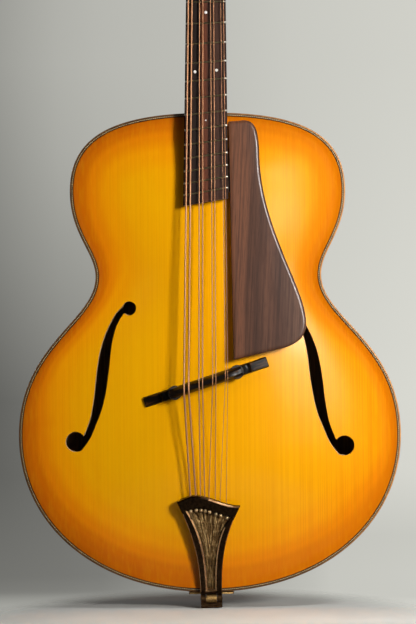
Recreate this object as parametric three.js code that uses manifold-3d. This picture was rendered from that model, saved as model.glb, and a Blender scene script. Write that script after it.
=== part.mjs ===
// Mandocello: an archtop body with f-holes, a fanned fingerboard and open worm-gear tuners.
// Millimetres. The instrument stands on its tail: +Z runs up the neck, the front faces -Y, +X is
// the treble side, and the origin is the middle of the end button's outer face.

import * as THREE from 'three';
import { mergeVertices } from 'three/addons/utils/BufferGeometryUtils.js';
import Module from 'manifold-3d';

const wasm = await Module();
wasm.setup();

// Clearances
const GAP = 0.3;
const OVERRUN = 4;

// Facets of the round parts
const TURNED_SIDES = 12;
const HOLE_SIDES = 6;

// Body outline
const BODY_LENGTH = 510;
const LOWER_BOUT = 406.4;
const WAIST = 240;
const UPPER_BOUT = 293;
const LOWER_BOUT_UP_SHARE = 0.32745;
const WAIST_UP_SHARE = 0.66078;
const UPPER_BOUT_UP_SHARE = 0.83725;
const TAIL_UP = 17;
const TAIL_HANDLE_SHARES = [0.595, 0.43];
const LOWER_HANDLE_SHARES = [0.58, 0.28];
const UPPER_HANDLE_SHARES = [0.28, 0.5];
const SHOULDER_HANDLE_SHARES = [0.75, 0.65];

// Body shell
const RIB_DEPTH = 76;
const RIB_THICKNESS = 2.6;
const PLATE_EDGE = 4.5;
const BINDING_WIDTH = 3.2;
const TOP_ARCH = 16;
const BACK_ARCH = 14.5;
const PLATE_MIDDLE = 5;
const RECURVE_DEPTH = 0.9;
const RECURVE_SHARE = 0.9;
const GLUE_RIM_SHARE = 0.92;
const ARCH_FALL_SHARE = 0.3;
const CROWN_POWER = 1.25;
const LINING_DEPTH = 14;
const LINING_WIDTH = 6;

// Sound holes
const F_HOLE_TOP_SHARE = 0.59333;
const F_HOLE_IN_SHARE = 0.20792;
const F_HOLE_LENGTH_SHARE = 0.27725;
const F_HOLE_SPREAD_SHARE = 0.1437;
const F_HOLE_UPPER_RADIUS = 7.5;
const F_HOLE_LOWER_RADIUS = 10.7;
const F_HOLE_TREBLE_DROP = 6.6;
const F_OUTER_SHARES = [
  [0.125, -0.016], [0.416, 0.178], [0.591, 0.447], [0.664, 0.675], [0.769, 0.862], [0.9, 0.97],
];
const F_INNER_SHARES = [
  [1.03, 1.05], [0.9, 1.03], [0.69, 0.895], [0.509, 0.724], [0.404, 0.512], [0.33, 0.25], [0.096, 0.037],
];

// Blocks and tone bars
const NECK_BLOCK_WIDTH = 84;
const NECK_BLOCK_DEPTH = 44;
const TAIL_BLOCK_WIDTH = 74;
const TAIL_BLOCK_DEPTH = 22;
const TONE_BAR_LENGTH_SHARE = 0.588;
const TONE_BAR_THICKNESS = 7;
const TONE_BAR_HEIGHT = 12;
const TONE_BAR_END_HEIGHT = 3.5;
const TONE_BAR_SPACING = 76;
const TONE_BAR_STEPS = 8;

// Neck line, set by the strings
const NECK_YAW = 0.0101;
const NECK_PITCH = 0.0612;
const NECK_SIDE = -0.9;
const GLUE_FRONT = 54.9;
const SCALE_BASS = 652;
const SCALE_TREBLE = 630;
const LEVEL_FRET_COUNT = 7;
const LEVEL_FRET_UP = 140.8;
const FRET_COUNT = 20;
const BOARD_END_FRET_COUNT = 21;
const NUT_WIDTH = 36;
const BOARD_TAPER = 0.02612;
const BOARD_THICKNESS = 6.5;
const FRET_WIDTH = 2.4;
const FRET_CROWN = 1.2;
const FRET_HEIGHT = 1.1;
const FRET_SUNK = 0.6;
const NUT_BACK_FRET_SHARE = -0.14;
const NUT_FALL = 0.8;

// Neck wood
const NECK_DEPTH_AT_NUT = 15.5;
const NECK_DEPTH_AT_HEEL = 19;
const HEEL_LENGTH = 62;
const HEEL_CAP_LENGTH = 17;
const HEEL_CAP_WIDTH = 27;
const HEEL_CAP_THICKNESS = 3;
const HEEL_TOP = 50;
const HEEL_FLAT_SHARE = 0.12;
const HEEL_SWEEP_POWER = 3;
const HEEL_TAPER_POWER = 0.8;
const HEEL_LEVEL_SHARES = [0, 0.12, 0.17, 0.24, 0.34, 0.5, 0.72, 1];
const SHAFT_SIDES = 8;
const SHAFT_FULLNESS_SHARE = 0.75;
const SHAFT_FRET_COUNTS = [13.6, 9, 4, NUT_BACK_FRET_SHARE];
const TENON_WIDTH = 20;
const TENON_DEPTH = 15;
const TENON_HEIGHT = 62;
const TONGUE_AT_JOIN = 8.5;
const TONGUE_AT_END = 4.2;
const TONGUE_NARROWING = 1.5;
const TONGUE_END_FRET_COUNT = 20.4;
const TONGUE_START_FRET_COUNT = 13;

// Truss rod
const ROD_DIAMETER = 5;
const ROD_CHANNEL_WIDTH = 6.4;
const ROD_DOWN = 6.5;
const ROD_END_OVER = 2.5;
const ROD_START_UP = 14;
const ROD_NUT_ACROSS = 8;
const ROD_NUT_LENGTH = 9;
const ROD_POCKET_START = 3;
const ROD_POCKET_WIDTH = 12;
const ROD_POCKET_LENGTH = 24;

// Headstock
const HEAD_TILT = 0.2443;
const HEAD_LENGTH = 182;
const HEAD_THICKNESS = 14.5;
const HEAD_WIDTH = 76;
const HEAD_NECK_WIDTH = 39;
const HEAD_UP_SHARES = [0.2, 0.84, 0.95];
const HEAD_HALF_SHARES = [0.93, 0.6];
const HEADPLATE_THICKNESS = 2;
const HEADPLATE_START = 1;
const COVER_START = 3.5;
const COVER_WIDTH = 20;
const COVER_LENGTH = 34;
const COVER_THICKNESS = 1.6;

// Tuners
const TUNERS_PER_SIDE = 4;
const TUNER_SPACING_SHARE = 0.17033;
const TUNER_FIRST_SHARE = 0.25824;
const TUNER_SIDE = 25;
const POST_RADIUS = 3;
const POST_HOLE_RADIUS = 3.7;
const POST_FRONT = 15;
const POST_END_OVER = 1.4;
const POST_SIDES = 8;
const GEAR_TEETH = 14;
const GEAR_PITCH_RADIUS = 6.4;
const GEAR_ADDENDUM = 0.75;
const GEAR_DEDENDUM = 0.85;
const GEAR_WIDTH = 3;
const GEAR_ROOT_SHARE = 0.52;
const GEAR_TIP_SHARE = 0.28;
const GEAR_STANDOFF = 2.2;
const WORM_RADIUS = 3;
const WORM_ROOT_RADIUS = 1.85;
const WORM_MESH_GAP = 0.35;
const WORM_TURNS = 2;
const WORM_SIDES = 8;
const WORM_TIP_STEPS = 2;
const WORM_PHASE = 4;
const SHAFT_RADIUS = 1.6;
const SHAFT_END_OVER = 1;
const PLATE_THICKNESS = 1.3;
const PLATE_WIDTH = 21;
const PLATE_END = 14;
const LUG_THICKNESS = 1.8;
const LUG_IN = 7;
const LUG_WIDTH = 7;
const BORE_CLEARANCE = 0.6;
const LUG_OVER_SHAFT = 3;
const BUTTON_LENGTH = 17;
const BUTTON_WIDTH = 15;
const BUTTON_THICKNESS = 9;
const BUTTON_CLEARANCE = 3;
const BUTTON_SHARES = [[0, 0.45], [0.22, 0.75], [0.55, 1], [0.85, 0.86], [1, 0.45]];

// Strings, from the lowest on the bass side to the highest on the treble side
const STRING_NAMES = ['low_c_1', 'low_c_2', 'low_g_1', 'low_g_2', 'd_1', 'd_2', 'a_1', 'a_2'];
const STRING_DIAMETERS = [1.9, 1.9, 1.24, 1.24, 0.88, 0.88, 0.6, 0.6];
const SADDLE_SPREAD = 46.2;
const NUT_SPREAD = 32;
const NUT_SHARES = [-0.5, -0.4, -0.2, -0.095, 0.115, 0.215, 0.4, 0.5];
const SADDLE_SHARES = [-0.5, -0.394, -0.158, -0.076, 0.156, 0.229, 0.446, 0.5];
const TAIL_SPREAD = 38;
const TAIL_SHARES = [-0.5, -0.349, -0.214, -0.098, 0.023, 0.197, 0.33, 0.5];
const STRING_OVER_NUT = 0.5;
const STRING_OVER_SADDLE = 5.2;
const WINDING_TURNS = 2;
const WINDING_STEPS = 12;
const FILLET_STEPS = 3;
const STRING_SIDES = 5;
const WINDING_CLEARANCE = 0.5;
const BALL_RADIUS = 2.4;
const BALL_LENGTH = 3.6;

// Bridge
const BRIDGE_SIDE = -3.7;
const BRIDGE_SLANT = 0.312;
const BASE_LENGTH = 138;
const BASE_WIDTH = 11.5;
const BASE_RISE = 9.5;
const BASE_STEP_SHARES = [0.66, 0.74, 0.88, 1];
const BASE_STEP_RISE_SHARES = [1, 0.6, 0.46, 0.36];
const BASE_SIDE_TAPER = 1;
const SADDLE_LENGTH = 80;
const SADDLE_WIDTH = 10;
const SADDLE_TOP_WIDTH = 5;
const SADDLE_END_DROP = 3.6;
const SADDLE_SHOULDER = 1.5;
const SADDLE_WAIST_SHARE = 0.55;
const SADDLE_DROP_RANGE = 1.5;
const POST_SPACING = 69;
const STUD_RADIUS = 2;
const STUD_SUNK = 6;
const STUD_IN_SADDLE = 4.2;
const WHEEL_RADIUS = 7.65;
const WHEEL_THICKNESS = 3.2;
const WHEEL_LIFT = 2.2;
const WHEEL_NOTCHES = 12;
const WHEEL_NOTCH_DEPTH = 0.5;

// Tailpiece
const HINGE_UP = 10.5;
const HINGE_FRONT = 48.2;
const KNUCKLE_RADIUS = 4.4;
const PIN_RADIUS = 1.8;
const HINGE_WIDTH = 22.8;
const HINGE_WINDOW = 12;
const TAILPIECE_LENGTH = 112;
const TAILPIECE_WING = 33.4;
const TAILPIECE_LEAN = 0.022;
const TAIL_TOP_SHARES = [[-1, 0.948], [-0.36, 1], [0.62, 0.905], [1, 0.889]];
const TAIL_SIDE_SHARES = [0.43, 0.65, 0.07];
const TAIL_FLARE_SHARE = 0.57;
const FOOT_BELOW = 10;
const WINDOW_CLEARANCE = 0.8;
const PANEL_RIM_AT_FOOT = 5.6;
const PANEL_RIM_AT_WING = 8.5;
const PANEL_LOW_SHARE = 0.07;
const PANEL_FLARE_SHARE = 0.22;
const HOOD_EDGE_SHARE = 0.84375;
const HOOD_SLOPE = 0.2;
const HOOD_RUN_SHARE = 0.152;
const HOOD_HOLE_BACK = 12;
const TAILPIECE_BACK = -5;
const TAILPIECE_FLOOR = -2.8;
const TAILPIECE_FRONT = 1.4;
const HOOD_FRONT = 4.6;
const STRING_HOLE_RADIUS = 1.5;
const PIN_OVERHANG = 1.2;
const PIN_CLEARANCE = 0.5;

// Tail hardware
const BRACKET_THICKNESS = 2;
const BRACKET_WIDTH = 48;
const BRACKET_BACK = 16;
const BRACKET_FRONT = 40;
const TONGUE_TOP_SHARE = 0.93;
const END_BUTTON_RADIUS = 7;
const END_BUTTON_FACE = 5.4;
const END_BUTTON_ROUND = 1.4;
const END_BUTTON_NECK = 4.4;
const END_BUTTON_NECK_SHARE = 0.6;
const END_BUTTON_SHAFT = 3.5;
const END_BUTTON_SUNK = 24;

// Finger rest
const REST_THICKNESS = 3;
const REST_TOP = 5.2;
const REST_BEVEL = 0.8;
const REST_TOP_UP = -10.6;
const REST_LOWER_UP = -263.3;
const REST_LOWER_WIDE = 106;
const REST_BOARD_CLEARANCE = 1;
const REST_BLOCK_LENGTH = 46;
const REST_BLOCK_WIDTH = 9;
const REST_BLOCK_UP = -62;
const REST_BLOCK_DEPTH = 7;
const REST_LEFT_SHARE = 0.065;
const REST_FOOT_SHARES = [[0.66, 0.953], [0.88, 0.94], [1, 0.905], [1, 0.845]];
const REST_SIDE_SHARES = [[1, 0.7], [0.42, 0.45], [0.4, 0.14]];
const REST_TOP_SHARES = [[0.395, 0.02], [0.33, -0.004], [0.2, -0.006]];

// Outline points for each stretch of half the body
const TAIL_STEPS = 8;
const LOWER_STEPS = 7;
const UPPER_STEPS = 5;
const SHOULDER_STEPS = 7;
const OUTER_RING_SHARES = [1, 0.95, 0.9, 0.78, 0.62, 0.45, 0.27, 0.08];
const INNER_RING_SHARES = [1, 0.92, 0.7, 0.42, 0.1];

// Places that follow from the lengths above
const RIB_HALF = RIB_DEPTH / 2;
const RIM_FRONT = RIB_HALF + PLATE_EDGE;
const BODY_TOP = TAIL_UP + BODY_LENGTH;
const LOWER_BOUT_UP = BODY_LENGTH * LOWER_BOUT_UP_SHARE;
const WAIST_UP = BODY_LENGTH * WAIST_UP_SHARE;
const UPPER_BOUT_UP = BODY_LENGTH * UPPER_BOUT_UP_SHARE;
const F_HOLE_TOP = TAIL_UP + BODY_LENGTH * F_HOLE_TOP_SHARE;
const F_HOLE_IN = LOWER_BOUT * F_HOLE_IN_SHARE;
const F_HOLE_LENGTH = BODY_LENGTH * F_HOLE_LENGTH_SHARE;
const F_HOLE_SPREAD = LOWER_BOUT * F_HOLE_SPREAD_SHARE;
const TONE_BAR_LENGTH = BODY_LENGTH * TONE_BAR_LENGTH_SHARE;
const TUNER_SPACING = HEAD_LENGTH * TUNER_SPACING_SHARE;
const TUNER_FIRST_UP = HEAD_LENGTH * TUNER_FIRST_SHARE;
const LEVEL_SHARE = Math.pow(2, -LEVEL_FRET_COUNT / 12);
const SADDLE_DOWN = LEVEL_SHARE * ((SCALE_BASS + SCALE_TREBLE) / 2) - LEVEL_FRET_UP;
const BRIDGE_UP = BODY_LENGTH - SADDLE_DOWN * Math.cos(NECK_PITCH);

// Materials
function finish(color, roughness, metalness = 0) {
  return new THREE.MeshStandardMaterial({ color, roughness, metalness });
}
const spruce = finish(0xf2a515, 0.3);
const maple = finish(0xc46a16, 0.3);
const liningWood = finish(0xcaa26a, 0.7);
const bindingPly = finish(0x8c7c52, 0.4);
const neckWood = finish(0x8a4a1c, 0.35);
const ebony = finish(0x2b2420, 0.45);
const rosewood = finish(0x5a3d31, 0.4);
const bone = finish(0xe6dec8, 0.4);
const steel = finish(0x8c8f92, 0.35, 1);
const brass = finish(0xb98f3f, 0.3, 1);
const bronze = finish(0x4c3a26, 0.4, 1);
const bronzeString = finish(0xb5703a, 0.35, 1);

// Solids

function solid(geometry) {
  const bare = geometry.clone();
  bare.deleteAttribute('normal');
  bare.deleteAttribute('uv');
  const merged = mergeVertices(bare);
  const mesh = new wasm.Mesh({
    numProp: 3,
    vertProperties: new Float32Array(merged.attributes.position.array),
    triVerts: new Uint32Array(merged.index.array),
  });
  mesh.merge();
  return new wasm.Manifold(mesh);
}

function geometryOf(body) {
  const { vertProperties, triVerts } = body.getMesh();
  const geometry = new THREE.BufferGeometry();
  geometry.setAttribute('position', new THREE.BufferAttribute(vertProperties, 3));
  geometry.setIndex(new THREE.BufferAttribute(triVerts, 1));
  geometry.computeVertexNormals();
  return geometry;
}

function signedVolume(positions, index) {
  const corner = (i) => new THREE.Vector3().fromArray(positions, 3 * index[i]);
  let volume = 0;
  for (let i = 0; i < index.length; i += 3) {
    volume += corner(i).dot(corner(i + 1).cross(corner(i + 2)));
  }
  return volume;
}

// A closed body from positions and triangles, turned so that its faces point out
function closedBody(points, triangles) {
  const positions = points.flatMap((p) => [p.x, p.y, p.z]);
  const index = triangles.flat();
  const outward = signedVolume(positions, index) > 0;
  const turned = outward ? index : triangles.flatMap(([a, b, c]) => [a, c, b]);
  const geometry = new THREE.BufferGeometry();
  geometry.setAttribute('position', new THREE.Float32BufferAttribute(positions, 3));
  geometry.setIndex(turned);
  geometry.computeVertexNormals();
  return geometry;
}

// Triangles between rings of equal count, open or wrapped round from the last ring to the first
function ringTriangles(ringCount, pointCount, wrapped = false) {
  const triangles = [];
  const last = wrapped ? ringCount : ringCount - 1;
  for (let ring = 0; ring < last; ring += 1) {
    const here = ring * pointCount;
    const there = ((ring + 1) % ringCount) * pointCount;
    for (let i = 0; i < pointCount; i += 1) {
      const j = (i + 1) % pointCount;
      triangles.push([here + i, here + j, there + j], [here + i, there + j, there + i]);
    }
  }
  return triangles;
}

// A loft through rings of equal count, with flat convex ends
function loft(rings) {
  const count = rings[0].length;
  const triangles = ringTriangles(rings.length, count);
  const lastRing = (rings.length - 1) * count;
  for (let i = 1; i < count - 1; i += 1) {
    triangles.push([0, i + 1, i], [lastRing, lastRing + i, lastRing + i + 1]);
  }
  return closedBody(rings.flat(), triangles);
}

// A shape pulled forward from one depth to another
function slab(shape, back, front, curveSegments = 6) {
  const options = { depth: front - back, bevelEnabled: false, curveSegments };
  return new THREE.ExtrudeGeometry(shape, options).translate(0, 0, back);
}

function block(width, length, depth, x, y, z) {
  return new THREE.BoxGeometry(width, length, depth).translate(x, y, z);
}

function roundBar(radius, length, sides = TURNED_SIDES) {
  return new THREE.CylinderGeometry(radius, radius, length, sides);
}

function polygon(points) {
  return new THREE.Shape(points.map(([x, y]) => new THREE.Vector2(x, y)));
}

// Frames: the body lies face up here and is stood on its tail by its parent group

const mandocello = new THREE.Group();
mandocello.name = 'mandocello';
const body = new THREE.Group();
body.rotation.x = Math.PI / 2;
mandocello.add(body);

const neckLine = new THREE.Group();
neckLine.position.set(NECK_SIDE, BODY_TOP, GLUE_FRONT);
neckLine.rotation.z = -NECK_YAW;
body.add(neckLine);
const neckFrame = new THREE.Group();
neckFrame.rotation.x = -NECK_PITCH;
neckLine.add(neckFrame);

function add(parent, name, geometry, material) {
  const mesh = new THREE.Mesh(geometry, material);
  mesh.name = name;
  parent.add(mesh);
  return mesh;
}

// The matrix that takes a group's own frame to the body's frame
function toBody(group) {
  mandocello.updateMatrixWorld(true);
  return new THREE.Matrix4().copy(body.matrixWorld).invert().multiply(group.matrixWorld);
}

// Body outline

function bodyCurves() {
  const bout = LOWER_BOUT / 2;
  const waist = WAIST / 2;
  const upper = UPPER_BOUT / 2;
  const lowerRun = WAIST_UP - LOWER_BOUT_UP;
  const upperRun = UPPER_BOUT_UP - WAIST_UP;
  const shoulderRun = BODY_LENGTH - UPPER_BOUT_UP;
  const point = (x, up) => new THREE.Vector2(x, TAIL_UP + up);
  const curve = (...points) => new THREE.CubicBezierCurve(...points);
  return [
    [curve(
      point(0, 0),
      point(bout * TAIL_HANDLE_SHARES[0], 0),
      point(bout, LOWER_BOUT_UP * TAIL_HANDLE_SHARES[1]),
      point(bout, LOWER_BOUT_UP),
    ), TAIL_STEPS],
    [curve(
      point(bout, LOWER_BOUT_UP),
      point(bout, LOWER_BOUT_UP + lowerRun * LOWER_HANDLE_SHARES[0]),
      point(waist, WAIST_UP - lowerRun * LOWER_HANDLE_SHARES[1]),
      point(waist, WAIST_UP),
    ), LOWER_STEPS],
    [curve(
      point(waist, WAIST_UP),
      point(waist, WAIST_UP + upperRun * UPPER_HANDLE_SHARES[0]),
      point(upper, UPPER_BOUT_UP - upperRun * UPPER_HANDLE_SHARES[1]),
      point(upper, UPPER_BOUT_UP),
    ), UPPER_STEPS],
    [curve(
      point(upper, UPPER_BOUT_UP),
      point(upper, UPPER_BOUT_UP + shoulderRun * SHOULDER_HANDLE_SHARES[0]),
      point(upper * SHOULDER_HANDLE_SHARES[1], BODY_LENGTH),
      point(0, BODY_LENGTH),
    ), SHOULDER_STEPS],
  ];
}

// The treble half of the outline from tail to neck, set in from the rib's outer face
function halfOutline(inset) {
  const points = [];
  for (const [curve, steps] of bodyCurves()) {
    for (let i = points.length ? 1 : 0; i <= steps; i += 1) {
      const at = curve.getPoint(i / steps);
      const along = curve.getTangent(i / steps);
      points.push(new THREE.Vector2(at.x - inset * along.y, at.y + inset * along.x));
    }
  }
  points[0].x = 0;
  points[points.length - 1].x = 0;
  return points;
}

function fullOutline(inset) {
  const half = halfOutline(inset);
  const mirrored = half.slice(1, -1).reverse().map((p) => new THREE.Vector2(-p.x, p.y));
  return [...half, ...mirrored];
}

// Arched plates

const LOWER_CENTRE = TAIL_UP + LOWER_BOUT_UP;
const UPPER_CENTRE = TAIL_UP + UPPER_BOUT_UP;
const PLATE_INSET = BINDING_WIDTH + GAP;

function spineAt(y) {
  return THREE.MathUtils.clamp(y, LOWER_CENTRE, UPPER_CENTRE);
}

function archFall(y) {
  const fromBridge = (spineAt(y) - TAIL_UP - BRIDGE_UP) / (UPPER_CENTRE - LOWER_CENTRE);
  return 1 - ARCH_FALL_SHARE * 2 * fromBridge * fromBridge;
}

function crown(share, y, arch, startShare, dip) {
  if (share >= startShare) {
    return -dip * Math.sin((Math.PI * (1 - share)) / (1 - startShare));
  }
  const across = Math.pow(share / startShare, CROWN_POWER);
  return (arch * archFall(y) * (1 + Math.cos(Math.PI * across))) / 2;
}

function outerHeight(arch) {
  return (share, y) => RIM_FRONT + crown(share, y, arch, RECURVE_SHARE, RECURVE_DEPTH);
}

function innerHeight(arch) {
  const innerArch = arch + PLATE_EDGE - PLATE_MIDDLE;
  return (share, y) => RIB_HALF + crown(share, y, innerArch, GLUE_RIM_SHARE, 0);
}

function plateRing(outline, share, height) {
  return outline.map((p) => {
    const spine = spineAt(p.y);
    return new THREE.Vector3(p.x * share, spine + (p.y - spine) * share, height(share, p.y));
  });
}

// Triangles that close a ring by joining its mirrored points across the centre line
function closeAcross(start, count) {
  const triangles = [];
  const half = count / 2;
  for (let i = 0; i < half; i += 1) {
    const left = (count - i) % count;
    const nextLeft = count - i - 1;
    if (i > 0) triangles.push([start + left, start + i, start + i + 1]);
    if (i < half - 1) triangles.push([start + left, start + i + 1, start + nextLeft]);
  }
  return triangles;
}

function archedPlate(arch) {
  const outline = fullOutline(PLATE_INSET);
  const count = outline.length;
  const under = INNER_RING_SHARES.map((share) => plateRing(outline, share, innerHeight(arch)));
  const over = OUTER_RING_SHARES.map((share) => plateRing(outline, share, outerHeight(arch)));
  const rings = [...under.reverse(), ...over];
  const triangles = ringTriangles(rings.length, count);
  const flipped = closeAcross(0, count).map(([a, b, c]) => [a, c, b]);
  triangles.push(...flipped, ...closeAcross((rings.length - 1) * count, count));
  return closedBody(rings.flat(), triangles);
}

// Height of a plate's outer face over one point, from its shares of the outline
function plateShare(x, y) {
  const half = halfOutline(PLATE_INSET);
  const spine = spineAt(y);
  const inside = (share) => {
    const up = spine + (y - spine) / share;
    const after = half.findIndex((p) => p.y >= up);
    if (after < 1) return false;
    const [a, b] = [half[after - 1], half[after]];
    return Math.abs(x) / share <= a.x + ((b.x - a.x) * (up - a.y)) / (b.y - a.y);
  };
  let [low, high] = [0, 1];
  for (let step = 0; step < 24; step += 1) {
    const middle = (low + high) / 2;
    if (inside(middle)) high = middle;
    else low = middle;
  }
  return high;
}

function topFront(x, y) {
  return outerHeight(TOP_ARCH)(plateShare(x, y), y);
}

function topUnder(x, y) {
  return innerHeight(TOP_ARCH)(plateShare(x, y), y);
}

function fHole(side, drop) {
  const top = F_HOLE_TOP - drop;
  const place = ([across, down]) =>
    new THREE.Vector2(side * (F_HOLE_IN + across * F_HOLE_SPREAD), top - down * F_HOLE_LENGTH);
  const outer = new THREE.SplineCurve(F_OUTER_SHARES.map(place)).getPoints(8);
  const inner = new THREE.SplineCurve(F_INNER_SHARES.map(place)).getPoints(9);
  const stem = new THREE.Shape([...outer, ...inner]);
  const cutter = (shape) => solid(slab(shape, 0, RIM_FRONT + TOP_ARCH + OVERRUN, 8));
  const circle = (radius, shares) => {
    const shape = new THREE.Shape();
    const at = place(shares);
    shape.absarc(at.x, at.y, radius, 0, 2 * Math.PI);
    return shape;
  };
  return cutter(stem)
    .add(cutter(circle(F_HOLE_UPPER_RADIUS, [0, 0])))
    .add(cutter(circle(F_HOLE_LOWER_RADIUS, [1, 1])));
}

const topBlank = solid(archedPlate(TOP_ARCH));
const topPlate = topBlank.subtract(fHole(-1, 0)).subtract(fHole(1, F_HOLE_TREBLE_DROP));
add(body, 'top_plate', geometryOf(topPlate), spruce);

const backPlate = add(body, 'back_plate', archedPlate(BACK_ARCH), maple);
backPlate.rotation.y = Math.PI;

// Ribs, linings and binding

// A strip that follows the treble or bass half of the outline, with one section all along
function halfSweep(side, section, fromTail, toNeck) {
  const lines = section.map(([inset]) => {
    const line = halfOutline(inset);
    line[0].x = fromTail;
    line[line.length - 1].x = toNeck;
    return line;
  });
  const rings = lines[0].map((_, i) =>
    section.map(([, z], k) => new THREE.Vector3(side * lines[k][i].x, lines[k][i].y, z)));
  return loft(rings);
}

// A closed ring round the whole outline
function outlineRing(section) {
  const lines = section.map(([inset]) => fullOutline(inset));
  const rings = lines[0].map((_, i) =>
    section.map(([, z], k) => new THREE.Vector3(lines[k][i].x, lines[k][i].y, z)));
  return closedBody(rings.flat(), ringTriangles(rings.length, section.length, true));
}

const MORTISE_HALF = TENON_WIDTH / 2 + GAP;
const buttonHole = solid(roundBar(END_BUTTON_SHAFT + GAP, END_BUTTON_SUNK * 2).translate(0, TAIL_UP, 0));
const ribSection = [[0, -RIB_HALF], [0, RIB_HALF], [RIB_THICKNESS, RIB_HALF], [RIB_THICKNESS, -RIB_HALF]];
for (const [name, side] of [['rib_bass', -1], ['rib_treble', 1]]) {
  const wall = solid(halfSweep(side, ribSection, GAP / 2, MORTISE_HALF));
  add(body, name, geometryOf(wall.subtract(buttonHole)), maple);
}

const bindingSection = [[0, RIB_HALF], [0, RIM_FRONT], [BINDING_WIDTH, RIM_FRONT], [BINDING_WIDTH, RIB_HALF]];
add(body, 'top_binding', outlineRing(bindingSection), bindingPly);
add(body, 'back_binding', outlineRing(bindingSection.map(([inset, z]) => [inset, -z])), bindingPly);

// Blocks, cut to the inside of the ribs
const LINING_INSET = RIB_THICKNESS + GAP;
const inside = solid(slab(new THREE.Shape(fullOutline(LINING_INSET)), GAP - RIB_HALF, RIB_HALF - GAP));

const neckBlockUp = BODY_TOP - NECK_BLOCK_DEPTH / 2;
const mortiseDepth = RIB_THICKNESS + TENON_DEPTH + GAP;
const mortise = solid(block(
  2 * MORTISE_HALF, 2 * mortiseDepth, TENON_HEIGHT + 2 * GAP, 0, BODY_TOP, 0,
));
const neckBlock = solid(block(NECK_BLOCK_WIDTH, NECK_BLOCK_DEPTH, RIB_DEPTH, 0, neckBlockUp, 0));
add(body, 'neck_block', geometryOf(neckBlock.intersect(inside).subtract(mortise)), liningWood);

const tailBlockUp = TAIL_UP + TAIL_BLOCK_DEPTH / 2;
const tailBlock = solid(block(TAIL_BLOCK_WIDTH, TAIL_BLOCK_DEPTH, RIB_DEPTH, 0, tailBlockUp, 0));
add(body, 'tail_block', geometryOf(tailBlock.intersect(inside).subtract(buttonHole)), liningWood);

// Linings, from block to block in each of the four corners of the shell
const liningCut = solid(block(
  NECK_BLOCK_WIDTH + 2 * GAP, 2 * NECK_BLOCK_DEPTH, 2 * RIB_DEPTH, 0, BODY_TOP, 0,
)).add(solid(block(
  TAIL_BLOCK_WIDTH + 2 * GAP, 2 * TAIL_BLOCK_DEPTH, 2 * RIB_DEPTH, 0, TAIL_UP, 0,
)));
for (const [plate, front] of [['top', 1], ['back', -1]]) {
  const section = [
    [LINING_INSET, front * RIB_HALF],
    [LINING_INSET, front * (RIB_HALF - LINING_DEPTH)],
    [LINING_INSET + LINING_WIDTH, front * RIB_HALF],
  ];
  for (const [name, side] of [['bass', -1], ['treble', 1]]) {
    const strip = solid(halfSweep(side, section, GAP, GAP)).subtract(liningCut);
    add(body, `${plate}_lining_${name}`, geometryOf(strip), liningWood);
  }
}

// Tone bars, fitted to the underside of the top
function toneBar(side) {
  const x = (side * TONE_BAR_SPACING) / 2;
  const half = TONE_BAR_THICKNESS / 2;
  const rings = [];
  for (let i = 0; i <= TONE_BAR_STEPS; i += 1) {
    const along = (2 * i) / TONE_BAR_STEPS - 1;
    const y = TAIL_UP + BRIDGE_UP + (along * TONE_BAR_LENGTH) / 2;
    const height = TONE_BAR_END_HEIGHT + (TONE_BAR_HEIGHT - TONE_BAR_END_HEIGHT) * (1 - along * along);
    const under = topUnder(x, y);
    const into = under + PLATE_MIDDLE / 2;
    rings.push([
      new THREE.Vector3(x - half, y, under - height),
      new THREE.Vector3(x - half, y, into),
      new THREE.Vector3(x + half, y, into),
      new THREE.Vector3(x + half, y, under - height),
    ]);
  }
  return solid(loft(rings)).subtract(topBlank.translate([0, 0, -GAP]));
}
add(body, 'tone_bar_bass', geometryOf(toneBar(-1)), spruce);
add(body, 'tone_bar_treble', geometryOf(toneBar(1)), spruce);

// Fan of the frets: each line has its own place on the bass and the treble edge of the board

function fanUp(fret, scale) {
  return LEVEL_FRET_UP + scale * (Math.pow(2, -fret / 12) - LEVEL_SHARE);
}

const NUT_UP = fanUp(0, (SCALE_BASS + SCALE_TREBLE) / 2);

function boardHalf(up) {
  return (NUT_WIDTH + BOARD_TAPER * (NUT_UP - up)) / 2;
}

// The point on a fret line at a share across the board, -1 at the bass edge and 1 at the treble edge
function fanPoint(fret, across, z, narrowing = 0, forward = 0) {
  const bass = fanUp(fret, SCALE_BASS);
  const treble = fanUp(fret, SCALE_TREBLE);
  const share = (across + 1) / 2;
  const bassX = narrowing - boardHalf(bass);
  const trebleX = boardHalf(treble) - narrowing;
  return new THREE.Vector3(
    bassX + share * (trebleX - bassX),
    bass + share * (treble - bass) + forward,
    z,
  );
}

function fanRing(fret, back, front, narrowing = 0, forward = 0) {
  return [
    fanPoint(fret, -1, back, narrowing, forward),
    fanPoint(fret, 1, back, narrowing, forward),
    fanPoint(fret, 1, front, narrowing, forward),
    fanPoint(fret, -1, front, narrowing, forward),
  ];
}

// Fingerboard with its twenty frets

function fretWire(fret) {
  const low = BOARD_THICKNESS - FRET_SUNK;
  const high = BOARD_THICKNESS + FRET_HEIGHT;
  const ring = (across) => [
    [low, -FRET_WIDTH / 2],
    [low, FRET_WIDTH / 2],
    [high, FRET_CROWN / 2],
    [high, -FRET_CROWN / 2],
  ].map(([z, forward]) => fanPoint(fret, across, z, GAP, forward));
  return solid(loft([ring(-1), ring(1)]));
}

let fingerboard = solid(loft([
  fanRing(BOARD_END_FRET_COUNT, GAP, BOARD_THICKNESS),
  fanRing(0, GAP, BOARD_THICKNESS),
]));
for (let fret = 1; fret <= FRET_COUNT; fret += 1) fingerboard = fingerboard.add(fretWire(fret));
add(neckFrame, 'fingerboard', geometryOf(fingerboard), ebony);

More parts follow.
